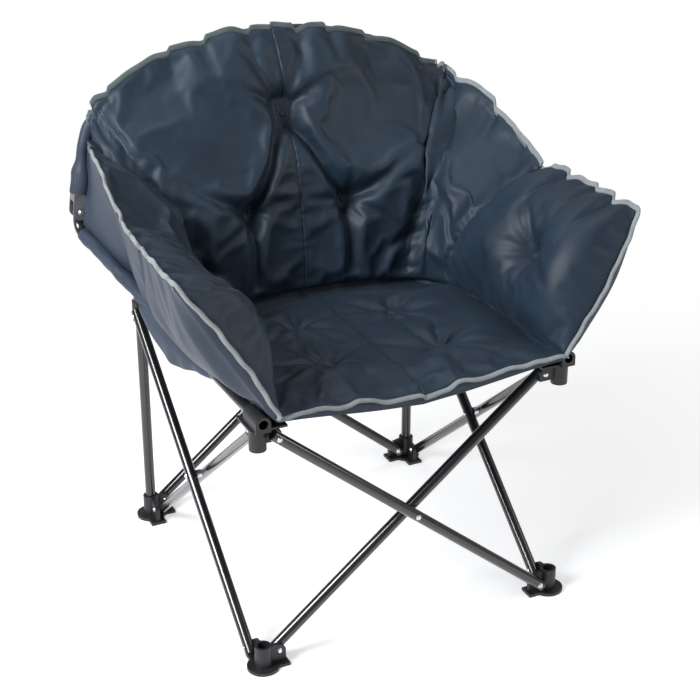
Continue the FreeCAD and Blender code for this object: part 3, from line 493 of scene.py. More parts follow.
def on_face(u, v, hand):
    """A point of the crowned face, on its own side."""
    near = np.array([-0.02, 0.0, 0.02])
    columns = np.abs(u + near) if u == 0 else u + near
    return signed(wall_grid(columns, v + near, hand)[2][1, 1], hand)


def gather_creases(points, hand, low, high):
    """Creases that run down from the gathers at the rim."""
    total = np.zeros(points.shape[:-1])
    for at, strength in GATHERS[hand]:
        if low < at < high:
            lean = 0.12 * math.sin(at * 7.7)
            line = [on_face(at, 0.975, hand), on_face(at + lean * 0.5, 0.9, hand),
                    on_face(at + lean, 0.9 - 0.13 * strength, hand)]
            total += valley(points, line, 0.01 * strength, 0.01, 1.0)
    return total


BACK_TUFTS = [(0.0, 0.7, 1), (1.17, 0.335, 1), (1.17, 0.335, -1)]
ARM_TUFT = (9.35, 0.46)
# Long creases of the back on each hand: stations and heights they run through, depth, width and fade.
BACK_CREASES = [
    ([(0.02, 0.69), (0.45, 0.55), (1.15, 0.345)], 0.026, 0.013, 0.15),
    ([(1.17, 0.325), (1.3, 0.17), (1.4, 0.04)], 0.022, 0.013, 0.3),
    ([(1.17, 0.335), (1.9, 0.42), (2.8, 0.62)], 0.02, 0.013, 0.5),
    ([(0.0, 0.71), (0.9, 0.8), (1.7, 0.88)], 0.014, 0.013, 0.7),
    ([(0.0, 0.71), (0.35, 0.84), (0.62, 0.95)], 0.014, 0.012, 0.6),
    ([(PANEL_SEAM, 0.2), (2.4, 0.13), (2.0, 0.03)], 0.01, 0.012, 0.5),
    ([(PANEL_SEAM, 0.6), (3.9, 0.66), (4.6, 0.74)], 0.009, 0.012, 0.7),
    ([(PANEL_SEAM, 0.3), (4.2, 0.33), (5.3, 0.3)], 0.009, 0.013, 0.7),
    ([(6.9, 0.25), (6.1, 0.38), (5.2, 0.44)], 0.009, 0.013, 0.7),
]
# Those at least this deep are sewn down. On the two hands they lie this many stations further out or in.
SEWN_DEPTH, CREASE_SHIFT = 0.013, 0.06
# Creases along the seams: depth, width and fade.
PANEL_CREASE, ARM_CREASE, MIDDLE_CREASE = (0.014, 0.017, 0), (0.01, 0.012, 0), (0.004, 0.007, 0)
# Tufts: depth and radius of the hollow, and count, reach and depth of the creases round it.
TUFT_HOLLOW = {"back": (0.034, 0.036), "arm": (0.042, 0.034), "seat": (0.036, 0.034)}
TUFT_RAYS = {"back": (9, 0.13, 0.013), "arm": (11, 0.13, 0.015), "seat": (8, 0.13, 0.016)}
TUFT_POINTS = 4
# What pressing leaves of a pad: its least thickness, and the share of the rest that gives way.
PAD_LEAST, PAD_GIVE = 0.008, 0.9
BACK_BULGE = 0.004


def seam_line(u, hand):
    return np.array([on_face(u, v, hand) for v in np.linspace(0, 1, 14)])


def tuft_press(label, points, normals, centre, seed):
    """Depth of a tuft's hollow and of the creases round it."""
    rays = ray_creases(points, normals, centre, *TUFT_RAYS[label], seed)
    return tuft_hollow(points, centre, *TUFT_HOLLOW[label]) + rays


def hold_tuft(held, near):
    """Holds the grid's points nearest to a tuft and says which is the nearest."""
    held[near <= np.sort(near.reshape(-1))[TUFT_POINTS]] = 1
    return np.unravel_index(np.argmin(near), near.shape)


def hold_border(held):
    held[0] = held[-1] = 1
    held[:, 0] = held[:, -1] = 1


def press_in(face, back, normal, press, v, rim_fade):
    """Sinks the creases into a face, as far as the pad has room for them."""
    press = np.minimum(press, np.maximum(gaps(face, back) - PAD_LEAST, 0) * PAD_GIVE)
    press = press * ease(v / 0.05) * ease((1 - v) / rim_fade)
    return face - normal * press[..., None]


def make_back():
    """Both halves of the back as one cloth, then split at the middle seam."""
    u_half = np.concatenate([np.linspace(0, 3, 40)[:-1], np.linspace(3, 5, 22)[:-1],
                             np.linspace(5, NOTCH, 33)])
    v = np.linspace(0, 1, 66)
    left, right = ([signed(part, hand) for part in wall_grid(u_half, v, hand)] for _, hand in HANDS)
    for one, other in zip(left, right):
        seam = (one[0] + other[0]) / 2
        seam[:, 0] = 0.0
        one[0] = other[0] = seam
    back, normal, face = (np.concatenate([other[:0:-1], one]) for one, other in zip(left, right))
    normal = unit(normal)
    columns = np.concatenate([-u_half[:0:-1], u_half])
    press = np.zeros(face.shape[:-1])
    held = np.zeros(press.shape)
    spots = []
    for number, (at, high, hand) in enumerate(BACK_TUFTS):
        centre = on_face(at, high, hand)
        press += tuft_press("back", face, normal, centre, 40 + number)
        spots.append(hold_tuft(held, gaps(face, centre)))
    for _, hand in HANDS:
        press += valley(face, seam_line(PANEL_SEAM, hand), *PANEL_CREASE)
        press += valley(face, seam_line(NOTCH, hand), *ARM_CREASE)
        press += gather_creases(face, hand, 0, NOTCH)
        for line, depth, width, fade in BACK_CREASES:
            points = [on_face(max(at + (CREASE_SHIFT * hand if 0 < at < 6 else 0), 0.0), high, hand)
                      for at, high in line]
            press += valley(face, points, depth, width, fade)
            if depth >= SEWN_DEPTH:
                gap, share = polyline_distance(face, np.array(points))
                held = np.where(gap < 0.005, np.maximum(held, 0.75 * (1 - 0.6 * share)), held)
        held[np.abs(columns - hand * PANEL_SEAM) < 0.045] = 1
    press += valley(face, seam_line(0.0, 1), *MIDDLE_CREASE)
    face = press_in(face, back, normal, press, v, 0.025)
    middle = len(u_half) - 1
    held[middle] = np.maximum(held[middle], 0.8)
    hold_border(held)
    face = swell("back", face, held)
    bulge = BACK_BULGE * np.sin(np.pi * v) * ease((0.9 - v) / 0.3)
    back = back - normal * bulge[:, None]
    face[middle, :, 0] = back[middle, :, 0] = 0
    halves = {1: slice(middle, None), -1: slice(middle, None, -1)}
    made = {hand: (face[part], back[part], np.abs(columns[part])) for hand, part in halves.items()}
    return made, [face[spot] for spot in spots]


def make_arm(hand):
    v = np.linspace(0, 1, 44)
    grids = wall_grid(np.linspace(NOTCH, FRONT, 58), v, hand)
    back, normal, face = (signed(part, hand) for part in grids)
    centre = on_face(*ARM_TUFT, hand)
    press = tuft_press("arm", face, normal, centre, 60 + hand)
    press += valley(face, seam_line(NOTCH, hand), *ARM_CREASE)
    press += gather_creases(face, hand, NOTCH, FRONT)
    held = np.zeros(press.shape)
    spot = hold_tuft(held, gaps(face, centre))
    hold_border(held)
    face = swell("arm", press_in(face, back, normal, press, v, 0.03), held)
    return face, back, spot


back_grids, back_centres = make_back()
arm_grids = {hand: make_arm(hand) for _, hand in HANDS}


# Seat

SEAT_LOW = 0.4807
SEAT_SAG = 0.022
SEAT_SIDE = [(-0.272, -0.334), (-0.276, -0.235), (-0.283, -0.165), (-0.282, -0.09), (-0.28, -0.01),
             (-0.272, 0.066)]
SEAT_REAR = 0.19
SEAT_FRONT_BOW = 0.012
SEAT_TUFTS = [(-0.097, -0.017), (-0.108, -0.184), (0.097, -0.017), (0.108, -0.184)]
SEAT_EDGE = 0.012
SEAT_SIDE_EDGE = 0.009
SEAT_CROWN = 0.047
# Behind this line the top stays under the back's lower seam.
REAR_LINE, REAR_TOP = 0.05, 0.486
# Where the seat's front binding is drawn up: share of the way from the corner to the middle, and height.
SEAT_GATHERS = {1: [(0.26, 0.004), (0.55, 0.009), (0.9, 0.003)],
                -1: [(0.2, 0.003), (0.48, 0.004), (0.76, 0.009)]}
# The front hem's rise at the corners, how much less it is at the middle, and how far back it reaches.
HEM_CORNER, HEM_LESS, FRONT_REACH = 0.019, 0.01, 0.11


def seat_plan(s, t):
    """Plan of the left half: s from the outer edge to the middle, t from the front to the rear seam."""
    side = np.array(SEAT_SIDE)
    (front_x, front_y), (rear_x, rear_y) = SEAT_SIDE[0], SEAT_SIDE[-1]
    steps = np.linspace(0, 1, len(side))
    side_at = between(t, steps, side)
    middle_at = np.stack([0 * t, front_y + SEAT_FRONT_BOW * (1 - t) + (SEAT_REAR - front_y) * t], axis=-1)
    front_at = np.stack([front_x * (1 - s), front_y + SEAT_FRONT_BOW * np.sin(np.pi * s / 2)], axis=-1)
    angle = (1 - s) * np.pi / 2
    rear_at = np.stack([rear_x * np.sin(angle), rear_y + (SEAT_REAR - rear_y) * np.cos(angle)], axis=-1)
    front_middle, rear_middle = np.array([0.0, front_y + SEAT_FRONT_BOW]), np.array([0.0, SEAT_REAR])
    s, t = s[..., None], t[..., None]
    return ((1 - s) * side_at + s * middle_at + (1 - t) * front_at + t * rear_at
            - (1 - s) * (1 - t) * side[0] - s * (1 - t) * front_middle
            - (1 - s) * t * side[-1] - s * t * rear_middle)


def hem_rise(s):
    """How far the front hem is drawn up, most at the corners, which lie on the hubs."""
    return HEM_CORNER - HEM_LESS * ease(s / 0.8)


def front_lift(s, hand):
    """How far the seat's front binding stands above the hem below it."""
    lift = 0.001 + 0.002 * ease(s / 0.35)
    for at, height in SEAT_GATHERS[hand]:
        width = np.where((s > at) == (hand > 0), 0.16, 0.05)
        lift = lift + height * np.exp(-((s - at) / width) ** 2)
    return lift


def both_sides(right, left):
    """The right half's rows from its edge to the middle, then the left half's out to its edge."""
    return np.concatenate([right, left[-2::-1]])


def make_seat():
    s = np.linspace(0, 1, 44)
    t = np.linspace(0, 1, 70)
    ss, tt = np.meshgrid(s, t, indexing="ij")
    plan = seat_plan(ss, tt)
    low = SEAT_LOW - SEAT_SAG * ss * (1 - 0.35 * tt)
    fill = np.sin(np.pi / 2 * np.clip(ss * 1.15, 0, 1)) ** 0.6
    fill = fill * (0.12 + 0.88 * ease(tt / 0.16) ** 0.6)
    fill = fill * (0.45 + 0.55 * ease((1 - tt) / 0.22) ** 0.7)
    side_edge = SEAT_SIDE_EDGE * ease(tt / 0.15) * ease((1 - tt) / 0.3) * (1 - ss)
    high = low + SEAT_EDGE + side_edge + SEAT_CROWN * fill
    behind = np.hypot(plan[..., 0] * 0.43, plan[..., 1] - REAR_LINE)
    rear_top = REAR_TOP + 0.5 * np.maximum(0.12 - behind, 0)
    rear_high = np.minimum(high, np.maximum(rear_top, low + SEAT_EDGE))
    high = np.where(plan[..., 1] > REAR_LINE, rear_high, high)
    left_low, left_high = (np.concatenate([plan, z[..., None]], axis=-1) for z in (low, high))
    under, top = (both_sides(left * MIRROR, left) for left in (left_low, left_high))
    rise = both_sides(hem_rise(s), hem_rise(s))
    lift = rise + both_sides(front_lift(s, -1), front_lift(s, 1))
    near_front = np.exp(-(t / FRONT_REACH) ** 2)
    under[..., 2] += rise[:, None] * near_front
    top[..., 2] += lift[:, None] * near_front
    up = np.broadcast_to([0.0, 0.0, 1.0], top.shape)
    press = np.zeros(top.shape[:-1])
    held = np.zeros(press.shape)
    spots = []
    for number, place in enumerate(SEAT_TUFTS):
        spot = hold_tuft(held, gaps(top[..., :2], np.array(place)))
        spots.append(spot)
        press += tuft_press("seat", top, up, top[spot], 80 + number)
    room = np.maximum(top[..., 2] - under[..., 2] - PAD_LEAST, 0) * PAD_GIVE
    side_fade = ease(both_sides(s, s) / 0.06)[:, None]
    top[..., 2] -= np.minimum(press, room) * side_fade * ease(t / 0.05) * ease((1 - t) / 0.04)
    hold_border(held)
    top = swell("seat", top, held)
    middle = len(s) - 1
    top[middle, :, 0] = under[middle, :, 0] = 0
    halves = {1: slice(None, middle - 1, -1), -1: slice(None, middle + 1)}
    made = {hand: (top[part], under[part]) for hand, part in halves.items()}
    return made, [top[spot] for spot in spots]


seat_grids, seat_centres = make_seat()

# Pads as pieces


def soft_back(obj, hand):
    """Fastens a piece of the back to its half of the hoop, on a mesh of its own."""
    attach(obj, f"hoop_{SIDE[hand]}")
    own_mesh(obj)


def soft_seat(obj, hand):
    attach(obj, f"seat_{SIDE[hand]}")
    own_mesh(obj)


def on_arm(obj, hand):
    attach(obj, f"hub_front_{SIDE[hand]}")


def apply_modifiers(obj):
    """Turns an object's modified shape into its mesh."""
    done = obj.evaluated_get(bpy.context.evaluated_depsgraph_get())
    mesh = bpy.data.meshes.new_from_object(done)
    obj.modifiers.clear()
    obj.data = mesh
    return obj


pads = {}
for side, hand in HANDS:
    for label, grids, fasten, fill in (
            ("back", back_grids, soft_back, 0.6), ("arm", arm_grids, on_arm, 0.6),
            ("seat", seat_grids, soft_seat, 0.55)):
        pad = apply_modifiers(shell(f"{label}_cushion_{side}", *grids[hand][:2]))
        pads[label, hand] = pad
        fasten(pad, hand)
        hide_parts(f"{label}_pad_{side}")


# Binding: a folded tape along the rim, the arms' fronts and the seat's front

# Station on each hand where the rim's darker tape, which is painted shade, gives way to the grey one.
TAPE_SHADE_END = {1: 5.7, -1: 3.2}
TAPE_SECTION = np.array([(-0.0045, -0.0036), (0.002, -0.003), (0.0075, -0.0022), (0.0092, 0.0),
                         (0.0075, 0.0022), (0.002, 0.003), (-0.0045, 0.0036)])
TAPE_WAVER = 0.0012
STITCH_HALF, STITCH_PITCH, STITCH_WIDTH, STITCH_LIFT = 0.0022, 0.0066, 0.0011, 0.0003
# Along one stitch: shares of its half length, its width and its height.
STITCH_SHAPE = ((-1, 0.5, 0.0), (-0.6, 1.0, 0.55), (0.6, 1.0, 0.55), (1, 0.5, 0.0))
# How far a tape's stitches lie from its middle, on its faces and inwards.
TAPE_STITCH_OFF, TAPE_STITCH_IN = 0.0033, 0.001


def band(name, path, outward, normal, material, seed):
    """A tape swept along a path; outward is the way it stands off, normal the way its faces look."""
    phase = np.random.default_rng(seed).uniform(0, 6, 3)
    lengths = path_lengths(path)
    sway = TAPE_WAVER * (np.sin(lengths * 60 + phase[0]) + 0.7 * np.sin(lengths * 137 + phase[1]))
    off, over = TAPE_SECTION[:, :1], TAPE_SECTION[:, 1:]
    ring = path[:, None] + outward[:, None] * off + normal[:, None] * (over + sway[:, None, None] * (off > 0))
    rows, columns = ring.shape[:2]
    number = np.arange(rows * columns).reshape(rows, columns)
    inside = np.stack([number[:-1, -1], number[1:, -1], number[1:, 0], number[:-1, 0]], axis=-1)
    faces = np.concatenate([grid_faces(rows, columns), inside]).tolist()
    faces += [number[0, ::-1].tolist(), number[-1].tolist()]
    obj = add_mesh(name, ring.reshape(-1, 3).tolist(), faces)
    uv = np.stack(np.meshgrid(lengths, path_lengths(TAPE_SECTION), indexing="ij"), axis=-1)
    return finish_mesh(obj, material, uv)


def stitches(name, path, normals, material):
    """A row of raised stitches along a path, one small rounded bar each, as one mesh."""
    lengths = path_lengths(path)
    verts, faces = [], []
    for at in np.arange(STITCH_PITCH, lengths[-1] - STITCH_PITCH, STITCH_PITCH):
        sources = ((at, path), (at, normals), (at - STITCH_HALF, path), (at + STITCH_HALF, path))
        place, normal, before, after = (between(where, lengths, values) for where, values in sources)
        ahead = unit(after - before)
        normal = unit(normal - ahead * (normal @ ahead))
        side = np.cross(normal, ahead)
        first = len(verts)
        for share, size, high in STITCH_SHAPE:
            middle = place + ahead * share * STITCH_HALF + normal * (STITCH_LIFT + high * STITCH_WIDTH)
            reach = size * STITCH_WIDTH / 2
            verts += [middle + side * reach, middle + normal * reach, middle - side * reach]
        for low in range(first, first + 9, 3):
            faces += [(low, low + 1, low + 4, low + 3), (low + 1, low + 2, low + 5, low + 4),
                      (low + 2, low, low + 3, low + 5)]
        faces += [(first, first + 2, first + 1), (first + 9, first + 10, first + 11)]
    return finish_mesh(add_mesh(name, [v.tolist() for v in verts], faces), material)


def tape_stitches(name, path, outward, normal, material):
    """Stitches along both faces of a binding tape, near its inner edge."""
    inner, off = path - outward * TAPE_STITCH_IN, normal * TAPE_STITCH_OFF
    both_faces = np.concatenate([inner + off, (inner - off)[::-1]])
    return stitches(name, both_faces, np.concatenate([normal, -normal[::-1]]), material)


def edge_frame(face_edge, back_edge, inner):
    """Middle line, outward and normal of a pad's thin edge."""
    path = (face_edge + back_edge) / 2
    outward = unit(path - inner)
    normal = unit(face_edge - back_edge)
    normal = unit(normal - outward * np.sum(normal * outward, axis=-1, keepdims=True))
    return path, outward, normal


def resample(path, *others, step=0.004):
    """A path and what goes with it, at even steps."""
    lengths = path_lengths(path)
    want = np.linspace(0, lengths[-1], max(4, int(lengths[-1] / step)))
    return [between(want, lengths, values) for values in (path, *others)]


def rim_edge(hand, low, high):
    """The rim between two stations as a path with its frame."""
    u = np.linspace(low, high, int(60 * (high - low)))
    back, _, face = (signed(part, hand) for part in wall_grid(u, np.array([0.96, 0.98, 1.0]), hand))
    return edge_frame(face[:, 2], back[:, 2], back[:, 0])


def seat_edge(hand):
    """The seat's front edge as a path with its frame, just under the edge of the top face."""
    face, back = seat_grids[hand]
    path = face[:, 0] - np.array([0.0, 0.0, SEAT_EDGE / 2])
    outward = unit(back[:, 0] - back[:, 2])
    normal = unit(np.cross(unit(np.gradient(path, axis=0)), outward))
    return path, outward, normal * np.sign(normal[:, 2:])


def arm_edge(hand):
    """The arm's rim, its front edge and the bridge to the seat's corner, as one path with its frame."""
    rim = rim_edge(hand, NOTCH + 0.03, FRONT)
    face, back, _ = arm_grids[hand]
    front = edge_frame(face[-1], back[-1], back[-4])
    corner = [values[:1] for values in seat_edge(hand)]
    bridge = [(front[0][:1] + corner[0]) / 2 + np.array([0.0, -0.004, 0.0]), front[1][:1], front[2][:1]]
    corner[2] = unit(front[2][:1] + corner[2])
    path, outward, normal = resample(*(
        np.concatenate([a[:-1], b[-2::-1], c, d]) for a, b, c, d in zip(rim, front, bridge, corner)))
    for _ in range(3):
        outward[1:-1] = unit(outward[:-2] + outward[1:-1] + outward[2:])
    return path, outward, normal


def bind(label, hand, edge, material, thread, seed, fasten):
    """A binding tape along an edge, with its stitches."""
    path, outward, normal = edge[0], unit(edge[1]), unit(edge[2])
    fasten(band(f"binding_{label}_{SIDE[hand]}", path, outward, normal, material, seed), hand)
    fasten(tape_stitches(f"tape_stitches_{label}_{SIDE[hand]}", path, outward, normal, thread), hand)


for _, hand in HANDS:
    change = TAPE_SHADE_END[hand]
    # Up to that station the rim's tape is the darker copy of the grey tape: painted shade.
    bind("back", hand, resample(*rim_edge(hand, 0.0, change)), SHADED_TAPE_AND_THREAD, THREAD, 5 + hand, soft_back)
    bind("wing", hand, resample(*rim_edge(hand, change, NOTCH - 0.02)), TAPE, SHADED_TAPE_AND_THREAD, 5 + hand, soft_back)
    bind("arm", hand, arm_edge(hand), TAPE, SHADED_TAPE_AND_THREAD, 9 + hand, on_arm)
    bind("seat", hand, resample(*seat_edge(hand)), TAPE, SHADED_TAPE_AND_THREAD, 13 + hand, soft_seat)


# Stitches and sewn tufts, laid on the finished pads

# A covered button from its middle to under its edge: radius and height.
TUFT_PROFILE = [(0.0, 0.003), (0.0022, 0.0028), (0.0042, 0.002), (0.0054, 0.0008), (0.0057, -0.0006),
                (0.0045, -0.002)]


def on_pad(pad, point):
    """The nearest place on a pad and the way its face looks there."""
    _, place, normal, _ = pad.closest_point_on_mesh(Vector(point))
    return np.array(place), np.array(normal)


def stitches_on(name, pad, path):
    places, normals = (np.array(values) for values in zip(*(on_pad(pad, point) for point in path)))
    return stitches(name, places, normals, THREAD)


def tuft(name, pad, point):
    """A covered button pulled into the pad, with a rolled edge."""
    place, normal = on_pad(pad, point)
    side = unit(np.cross(normal, [0.3, 0.2, 0.9]))
    over = np.cross(normal, side)
    turn = np.linspace(0, 2 * np.pi, 25)
    around = [math.cos(a) * side + math.sin(a) * over for a in turn]
    grid = np.array([[place + normal * high + radius * way for way in around]
                     for radius, high in TUFT_PROFILE])
    obj = grid_object(name, grid)
    made = bmesh.new()
    made.from_mesh(obj.data)
    bmesh.ops.remove_doubles(made, verts=made.verts, dist=1e-5)
    made.to_mesh(obj.data)
    made.free()
    return finish_mesh(obj, CLOTH)


# Stations between the panel seam and the stitches on either side of it.
SEAM_STITCH_OFF = 0.05

for side, hand in HANDS:
    face, _, columns = back_grids[hand]
    pad = pads["back", hand]
    lines = {"middle": face[0] * 0.42 + face[1] * 0.58}
    for label, shift in (("front", SEAM_STITCH_OFF), ("rear", -SEAM_STITCH_OFF)):
        at = PANEL_SEAM + shift
        after = int(np.searchsorted(columns, at))
        part = (at - columns[after - 1]) / (columns[after] - columns[after - 1])
        lines[f"panel_{label}"] = face[after - 1] * (1 - part) + face[after] * part
    for label, path in lines.items():
        soft_back(stitches_on(f"stitches_{label}_{side}", pad, path[1:-1]), hand)
    soft_back(tuft(f"tuft_back_{side}", pad, back_centres[1 if hand > 0 else 2]), hand)
    face, _, spot = arm_grids[hand]
    on_arm(tuft(f"tuft_arm_{side}", pads["arm", hand], face[spot]), hand)
    pad, top = pads["seat", hand], seat_grids[hand][0]
    soft_seat(stitches_on(f"stitches_seat_{side}", pad, top[-1] * 0.6 + top[-2] * 0.4), hand)
soft_back(tuft("tuft_back_top", pads["back", 1], back_centres[0] + np.array([-0.003, 0, 0])), 1)
for number, (place, centre) in enumerate(zip(SEAT_TUFTS, seat_centres)):
    hand = 1 if place[0] < 0 else -1
    soft_seat(tuft(f"tuft_seat_{number}", pads["seat", hand], centre), hand)


# Outer cover, over the rails, and the sleeves that hold the hoop and the rails

RAIL = np.array([(-0.29, -0.34, 0.4915), (-0.29, -0.233, 0.4915), (-0.3927, 0.318, 0.6293)])
COVER_STATIONS = np.linspace(FRONT, 4.95, 82)
COVER_ROWS = 21
# Rows of the cover where it hangs over the rail, off the rail in x and z: along the arm, with the share of
# the hem's drop, and near the elbow. They are the top, the side, the hem, its fold and its inner edge.
COVER_HUNG = [((-0.0095, 0.011), 0.0, (0.006, 0.015)), ((-0.015, 0.0), 0.4, (0.0125, 0.0095)),
              ((-0.0135, 0.0), 1.0, (0.016, 0.001)), ((-0.011, 0.0), 1.0, (0.016, -0.004)),
              ((-0.0108, 0.01), 1.0, (0.015, -0.008))]
# The same rows where the cover lies on the arm, from the rim down: share of the wall's height, and stand-off.
COVER_SHARES = [1.0, 0.55, 0.16, 0.09, 0.02, 0.0, 0.03]
COVER_OFF = np.array([0.001, 0.006, 0.005, 0.005, 0.004, 0.0025, 0.0025])
FOLD_HEIGHT, FREE_OFF, PLUMP, HEM_WAVE = 0.003, 0.0045, 0.027, 0.0016


def rail_at(y):
    return between(y, RAIL[:, 1], RAIL)


def make_cover(hand):
    """Grid of the cover: from the rim down the arm's outside, over the rail, to a turned hem."""
    u, heights = COVER_STATIONS, np.linspace(0, 1, COVER_ROWS)
    back, normal, face = wall_grid(u[::-1], heights, hand)
    back, out = back[::-1], -normal[::-1]
    off = out[:, COVER_ROWS // 2]
    rim = back[:, -1] + out[:, -1] * 0.001
    y = rim[:, 1]
    rail = rail_at(y)
    near_elbow = ease((y - 0.07) / 0.12)[:, None]
    hang = ease((y + 0.25) / 0.14)[:, None] * (1 - near_elbow)
    drop = 0.004 + 0.05 * np.exp(-((y + 0.015) / 0.085) ** 2)
    hung = []
    for (x, z), share, (elbow_x, elbow_z) in COVER_HUNG:
        along = rail + np.stack([x + 0 * drop, 0 * drop, z - share * drop], axis=-1)
        hung.append(along * (1 - near_elbow) + (rail + np.array([elbow_x, 0.0, elbow_z])) * near_elbow)
    hung = np.stack([rim, (rim + hung[0]) / 2 - off * 0.004, *hung])
    flat = np.stack([between(COVER_SHARES, heights, column) for column in back], axis=1)
    flat = flat + off * COVER_OFF[:, None, None]
    mix = np.maximum(hang, near_elbow)
    knots = flat * (1 - mix) + hung * mix
    w = np.concatenate([np.linspace(0, 2, 22)[:-1], np.linspace(2, 4, 12)[:-1], np.linspace(4, 6, 7)])
    grid = spline(knots, w, 2 * knots[0] - knots[1]).transpose(1, 0, 2)
    ww, uu = np.meshgrid(w, u)
    free = np.sin(np.pi * np.clip(ww / 2, 0, 1)) ** 2 * (1 - 0.5 * near_elbow)
    free = free * ease((FRONT - uu) / 0.7)
    folds = (np.sin(uu * 4.3 + ww * 2.2 + hand) + 0.6 * np.sin(uu * 7.9 - ww * 3.1)
             + 0.3 * np.sin(uu * 15.1 + ww))
    plump = np.sin(np.pi * np.clip(ww / 2.3, 0, 1)) * ease((FRONT - uu) / 0.4)
    plump = plump * ease((uu - 7.4) / 1.2)
    puff = FOLD_HEIGHT * folds * free + FREE_OFF * free + PLUMP * plump
    grid = grid + off[:, None] * puff[..., None]
    grid[..., 0] += HEM_WAVE * np.sin(uu * 9.0) * ease((ww - 2.5) / 1.5) * hang
    # The first row goes round the arm's front to the binding.
    wrapped = (back[0] + face[-1]) / 2 + np.array([0.0, -0.0015, 0.0])
    shares = np.interp(w, np.arange(len(COVER_SHARES)), COVER_SHARES)
    front = between(shares, heights, wrapped)
    return signed(np.concatenate([front[None], grid]), hand)


HOOP_BASE = np.array([-0.383, 0.318, 0.698])
HOOP_START, HOOP_CHANGE, HOOP_END = math.pi - 0.139, math.pi / 2 + 0.63885, math.pi / 2 + 0.004
SHOULDER_CENTRE, SHOULDER_RADIUS = np.array([-0.2773, 0.318, 0.7683]), 0.095
CROWN_CENTRE, CROWN_RADIUS = np.array([0.0, 0.318, 0.395]), 0.56
HOOP_SLEEVE_RADIUS, HOOP_SLEEVE_FLARE, RAIL_SLEEVE_RADIUS = 0.0128, 0.0065, 0.0125


def arc(centre, radius, angles):
    return centre + radius * np.stack([np.cos(angles), 0 * angles, np.sin(angles)], axis=-1)


def hoop_path():
    """The left half of the hoop's middle line, from above the elbow to the crown."""
    shoulder = arc(SHOULDER_CENTRE, SHOULDER_RADIUS, np.linspace(HOOP_START, HOOP_CHANGE, 24))
    crown = arc(CROWN_CENTRE, CROWN_RADIUS, np.linspace(HOOP_CHANGE, HOOP_END, 70)[1:])
    upright = HOOP_BASE + np.linspace(0, 1, 9)[:-1, None] * (shoulder[0] - HOOP_BASE)
    return np.concatenate([upright, shoulder, crown])


def sleeve(name, path, radius, seed, flare=0.0):
    """A slack fabric tube along a path, with crumples round it; it may flare at its start."""
    path, = resample(path, step=0.006)
    ahead = unit(np.gradient(path, axis=0))
    side = unit(np.cross(ahead, [0.0, 1.0, 0.02]))
    over = np.cross(side, ahead)
    ll, aa = np.meshgrid(path_lengths(path), np.linspace(0, 2 * np.pi, 21), indexing="ij")
    phase = np.random.default_rng(seed).uniform(0, 6, 4)
    slack = (np.sin(ll * 90 + 2 * aa + phase[0]) + np.sin(ll * 47 - 3 * aa + phase[1])
             + 0.7 * np.sin(ll * 160 + aa + phase[2])) * 0.00055
    size = (radius + slack + flare * (1 - ease((ll - 0.034) / 0.03)))[..., None]
    around = np.cos(aa)[..., None] * side[:, None] + np.sin(aa)[..., None] * over[:, None]
    ring = path[:, None] + size * around
    ring[:, -1] = ring[:, 0]
    return finish_mesh(grid_object(name, ring), COVER, np.stack([ll, aa * radius], axis=-1))


for side, hand in HANDS:
    grid = make_cover(hand)
    cover = finish_mesh(grid_object(f"outer_cover_{side}", grid), COVER, uv_from_grid(grid))
    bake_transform(cover)
    tube = sleeve(f"hoop_sleeve_{side}", signed(hoop_path(), hand), HOOP_SLEEVE_RADIUS, 21 + hand,
                  HOOP_SLEEVE_FLARE)
    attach(tube, f"hoop_{side}")
    rail_path = rail_at(np.linspace(-0.06, 0.296, 60))
    tube = sleeve(f"rail_sleeve_{side}", signed(rail_path, hand), RAIL_SLEEVE_RADIUS, 31 + hand)
    on_arm(tube, hand)


# Frame: better materials on the solids that stay

slot_of = {part["node"]: part["material_slot"] for part in frame["record"]["subparts"]}
for name in frame["nodes"]:
    obj = bpy.data.objects.get(name)
    material = SLOT_MATERIALS.get(slot_of.get(name))
    if obj is None or obj.hide_render or material is None:
        continue
    for slot in obj.material_slots:
        slot.material = material
    if not obj.material_slots:
        obj.data.materials.append(material)


# Stage, light and camera

FLOOR, FLOOR_GLOW = 14.0, 0.45
# The floor fades to white between these distances from the middle.
FADE_FROM, FADE_TO = 0.7, 1.7
corners = [(-FLOOR, -FLOOR, 0), (FLOOR, -FLOOR, 0), (FLOOR, FLOOR, 0), (-FLOOR, FLOOR, 0)]
floor = add_mesh("floor", corners, [(0, 1, 2, 3)])
mat, tree, shader = new_material("pale_floor", Base_Color=(0.82, 0.82, 0.82, 1), Roughness=0.9,
                                 Specular_IOR_Level=0.1)
ways = add(tree, "LightPath").outputs
seen = add(tree, "Math", {0: ways["Is Camera Ray"], 1: ways["Is Glossy Ray"]},
           operation="MAXIMUM").outputs["Value"]
dim = add(tree, "Math", {0: seen}, operation="MULTIPLY")
dim.inputs[1].default_value = FLOOR_GLOW
glow = add(tree, "Emission", {"Strength": dim.outputs["Value"]}, Color=WHITE)
both = add(tree, "AddShader", {0: shader.outputs["BSDF"], 1: glow.outputs["Emission"]})
place = add(tree, "TexCoord")
reach = add(tree, "VectorMath", {0: place.outputs["Object"]}, operation="LENGTH")
far = add(tree, "MapRange", {"Value": reach.outputs["Value"]}, interpolation_type="SMOOTHSTEP",
          From_Min=FADE_FROM, From_Max=FADE_TO)
away = add(tree, "Math", {0: far.outputs["Result"], 1: seen}, operation="MULTIPLY")
white = add(tree, "Emission", Color=WHITE, Strength=1.0)
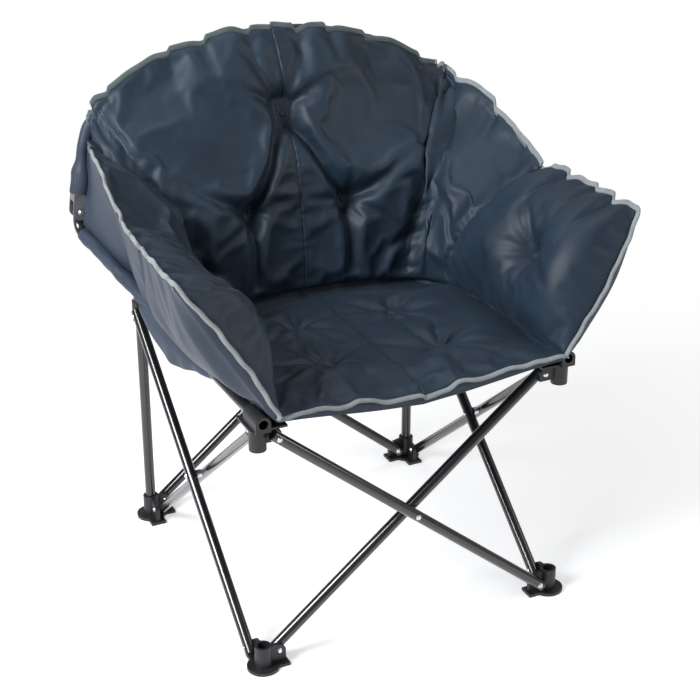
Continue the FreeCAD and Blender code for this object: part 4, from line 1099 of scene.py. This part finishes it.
fade = add(tree, "MixShader", {
    "Fac": away.outputs["Value"], 1: both.outputs["Shader"], 2: white.outputs["Emission"]})
tree.links.new(fade.outputs["Shader"], tree.nodes["Material Output"].inputs["Surface"])
floor.data.materials.append(mat)

world = bpy.data.worlds.new("studio")
scene.world = world
world.use_nodes = True
tree = world.node_tree
lit = tree.nodes["Background"]
put(lit, {"Color": (0.93, 0.96, 1.0, 1), "Strength": 0.27})
shown = add(tree, "Background", Color=WHITE, Strength=1.0)
ways = add(tree, "LightPath").outputs
mix = add(tree, "MixShader", {
    "Fac": ways["Is Camera Ray"], 1: lit.outputs["Background"], 2: shown.outputs["Background"]})
tree.links.new(mix.outputs["Shader"], tree.nodes["World Output"].inputs["Surface"])


def area_light(name, place, target, size, power, colour):
    lamp = bpy.data.lights.new(name, "AREA")
    lamp.shape = "RECTANGLE"
    lamp.size, lamp.size_y = size
    lamp.energy = power
    lamp.color = colour
    obj = bpy.data.objects.new(name, lamp)
    obj.location = place
    obj.rotation_euler = (Vector(target) - Vector(place)).to_track_quat("-Z", "Y").to_euler()
    scene.collection.objects.link(obj)


AIM = (0, 0, 0.55)
area_light("key", (-2.55, -0.5, 2.25), AIM, (1.3, 1.3), 128, (0.95, 0.97, 1.0))
area_light("fill", (2.6, -1.8, 1.8), AIM, (1.8, 1.8), 34, (1.0, 0.98, 0.96))
area_light("top", (0.2, 0.6, 3.0), AIM, (1.6, 1.6), 16, (1.0, 1.0, 1.0))

FOCAL_PIXELS, IMAGE_WIDTH, SENSOR = 1700.0, 700.0, 36.0
YAW, PITCH = 0.4472, 0.4396
lens = bpy.data.cameras.new("camera")
lens.sensor_width = SENSOR
lens.lens = FOCAL_PIXELS / IMAGE_WIDTH * SENSOR
camera = bpy.data.objects.new("camera", lens)
camera.location = (-1.21706, -2.57409, 1.77154)
look = Vector((math.sin(YAW) * math.cos(PITCH), math.cos(YAW) * math.cos(PITCH), -math.sin(PITCH)))
camera.rotation_euler = look.to_track_quat("-Z", "Y").to_euler()
scene.collection.objects.link(camera)
scene.camera = camera
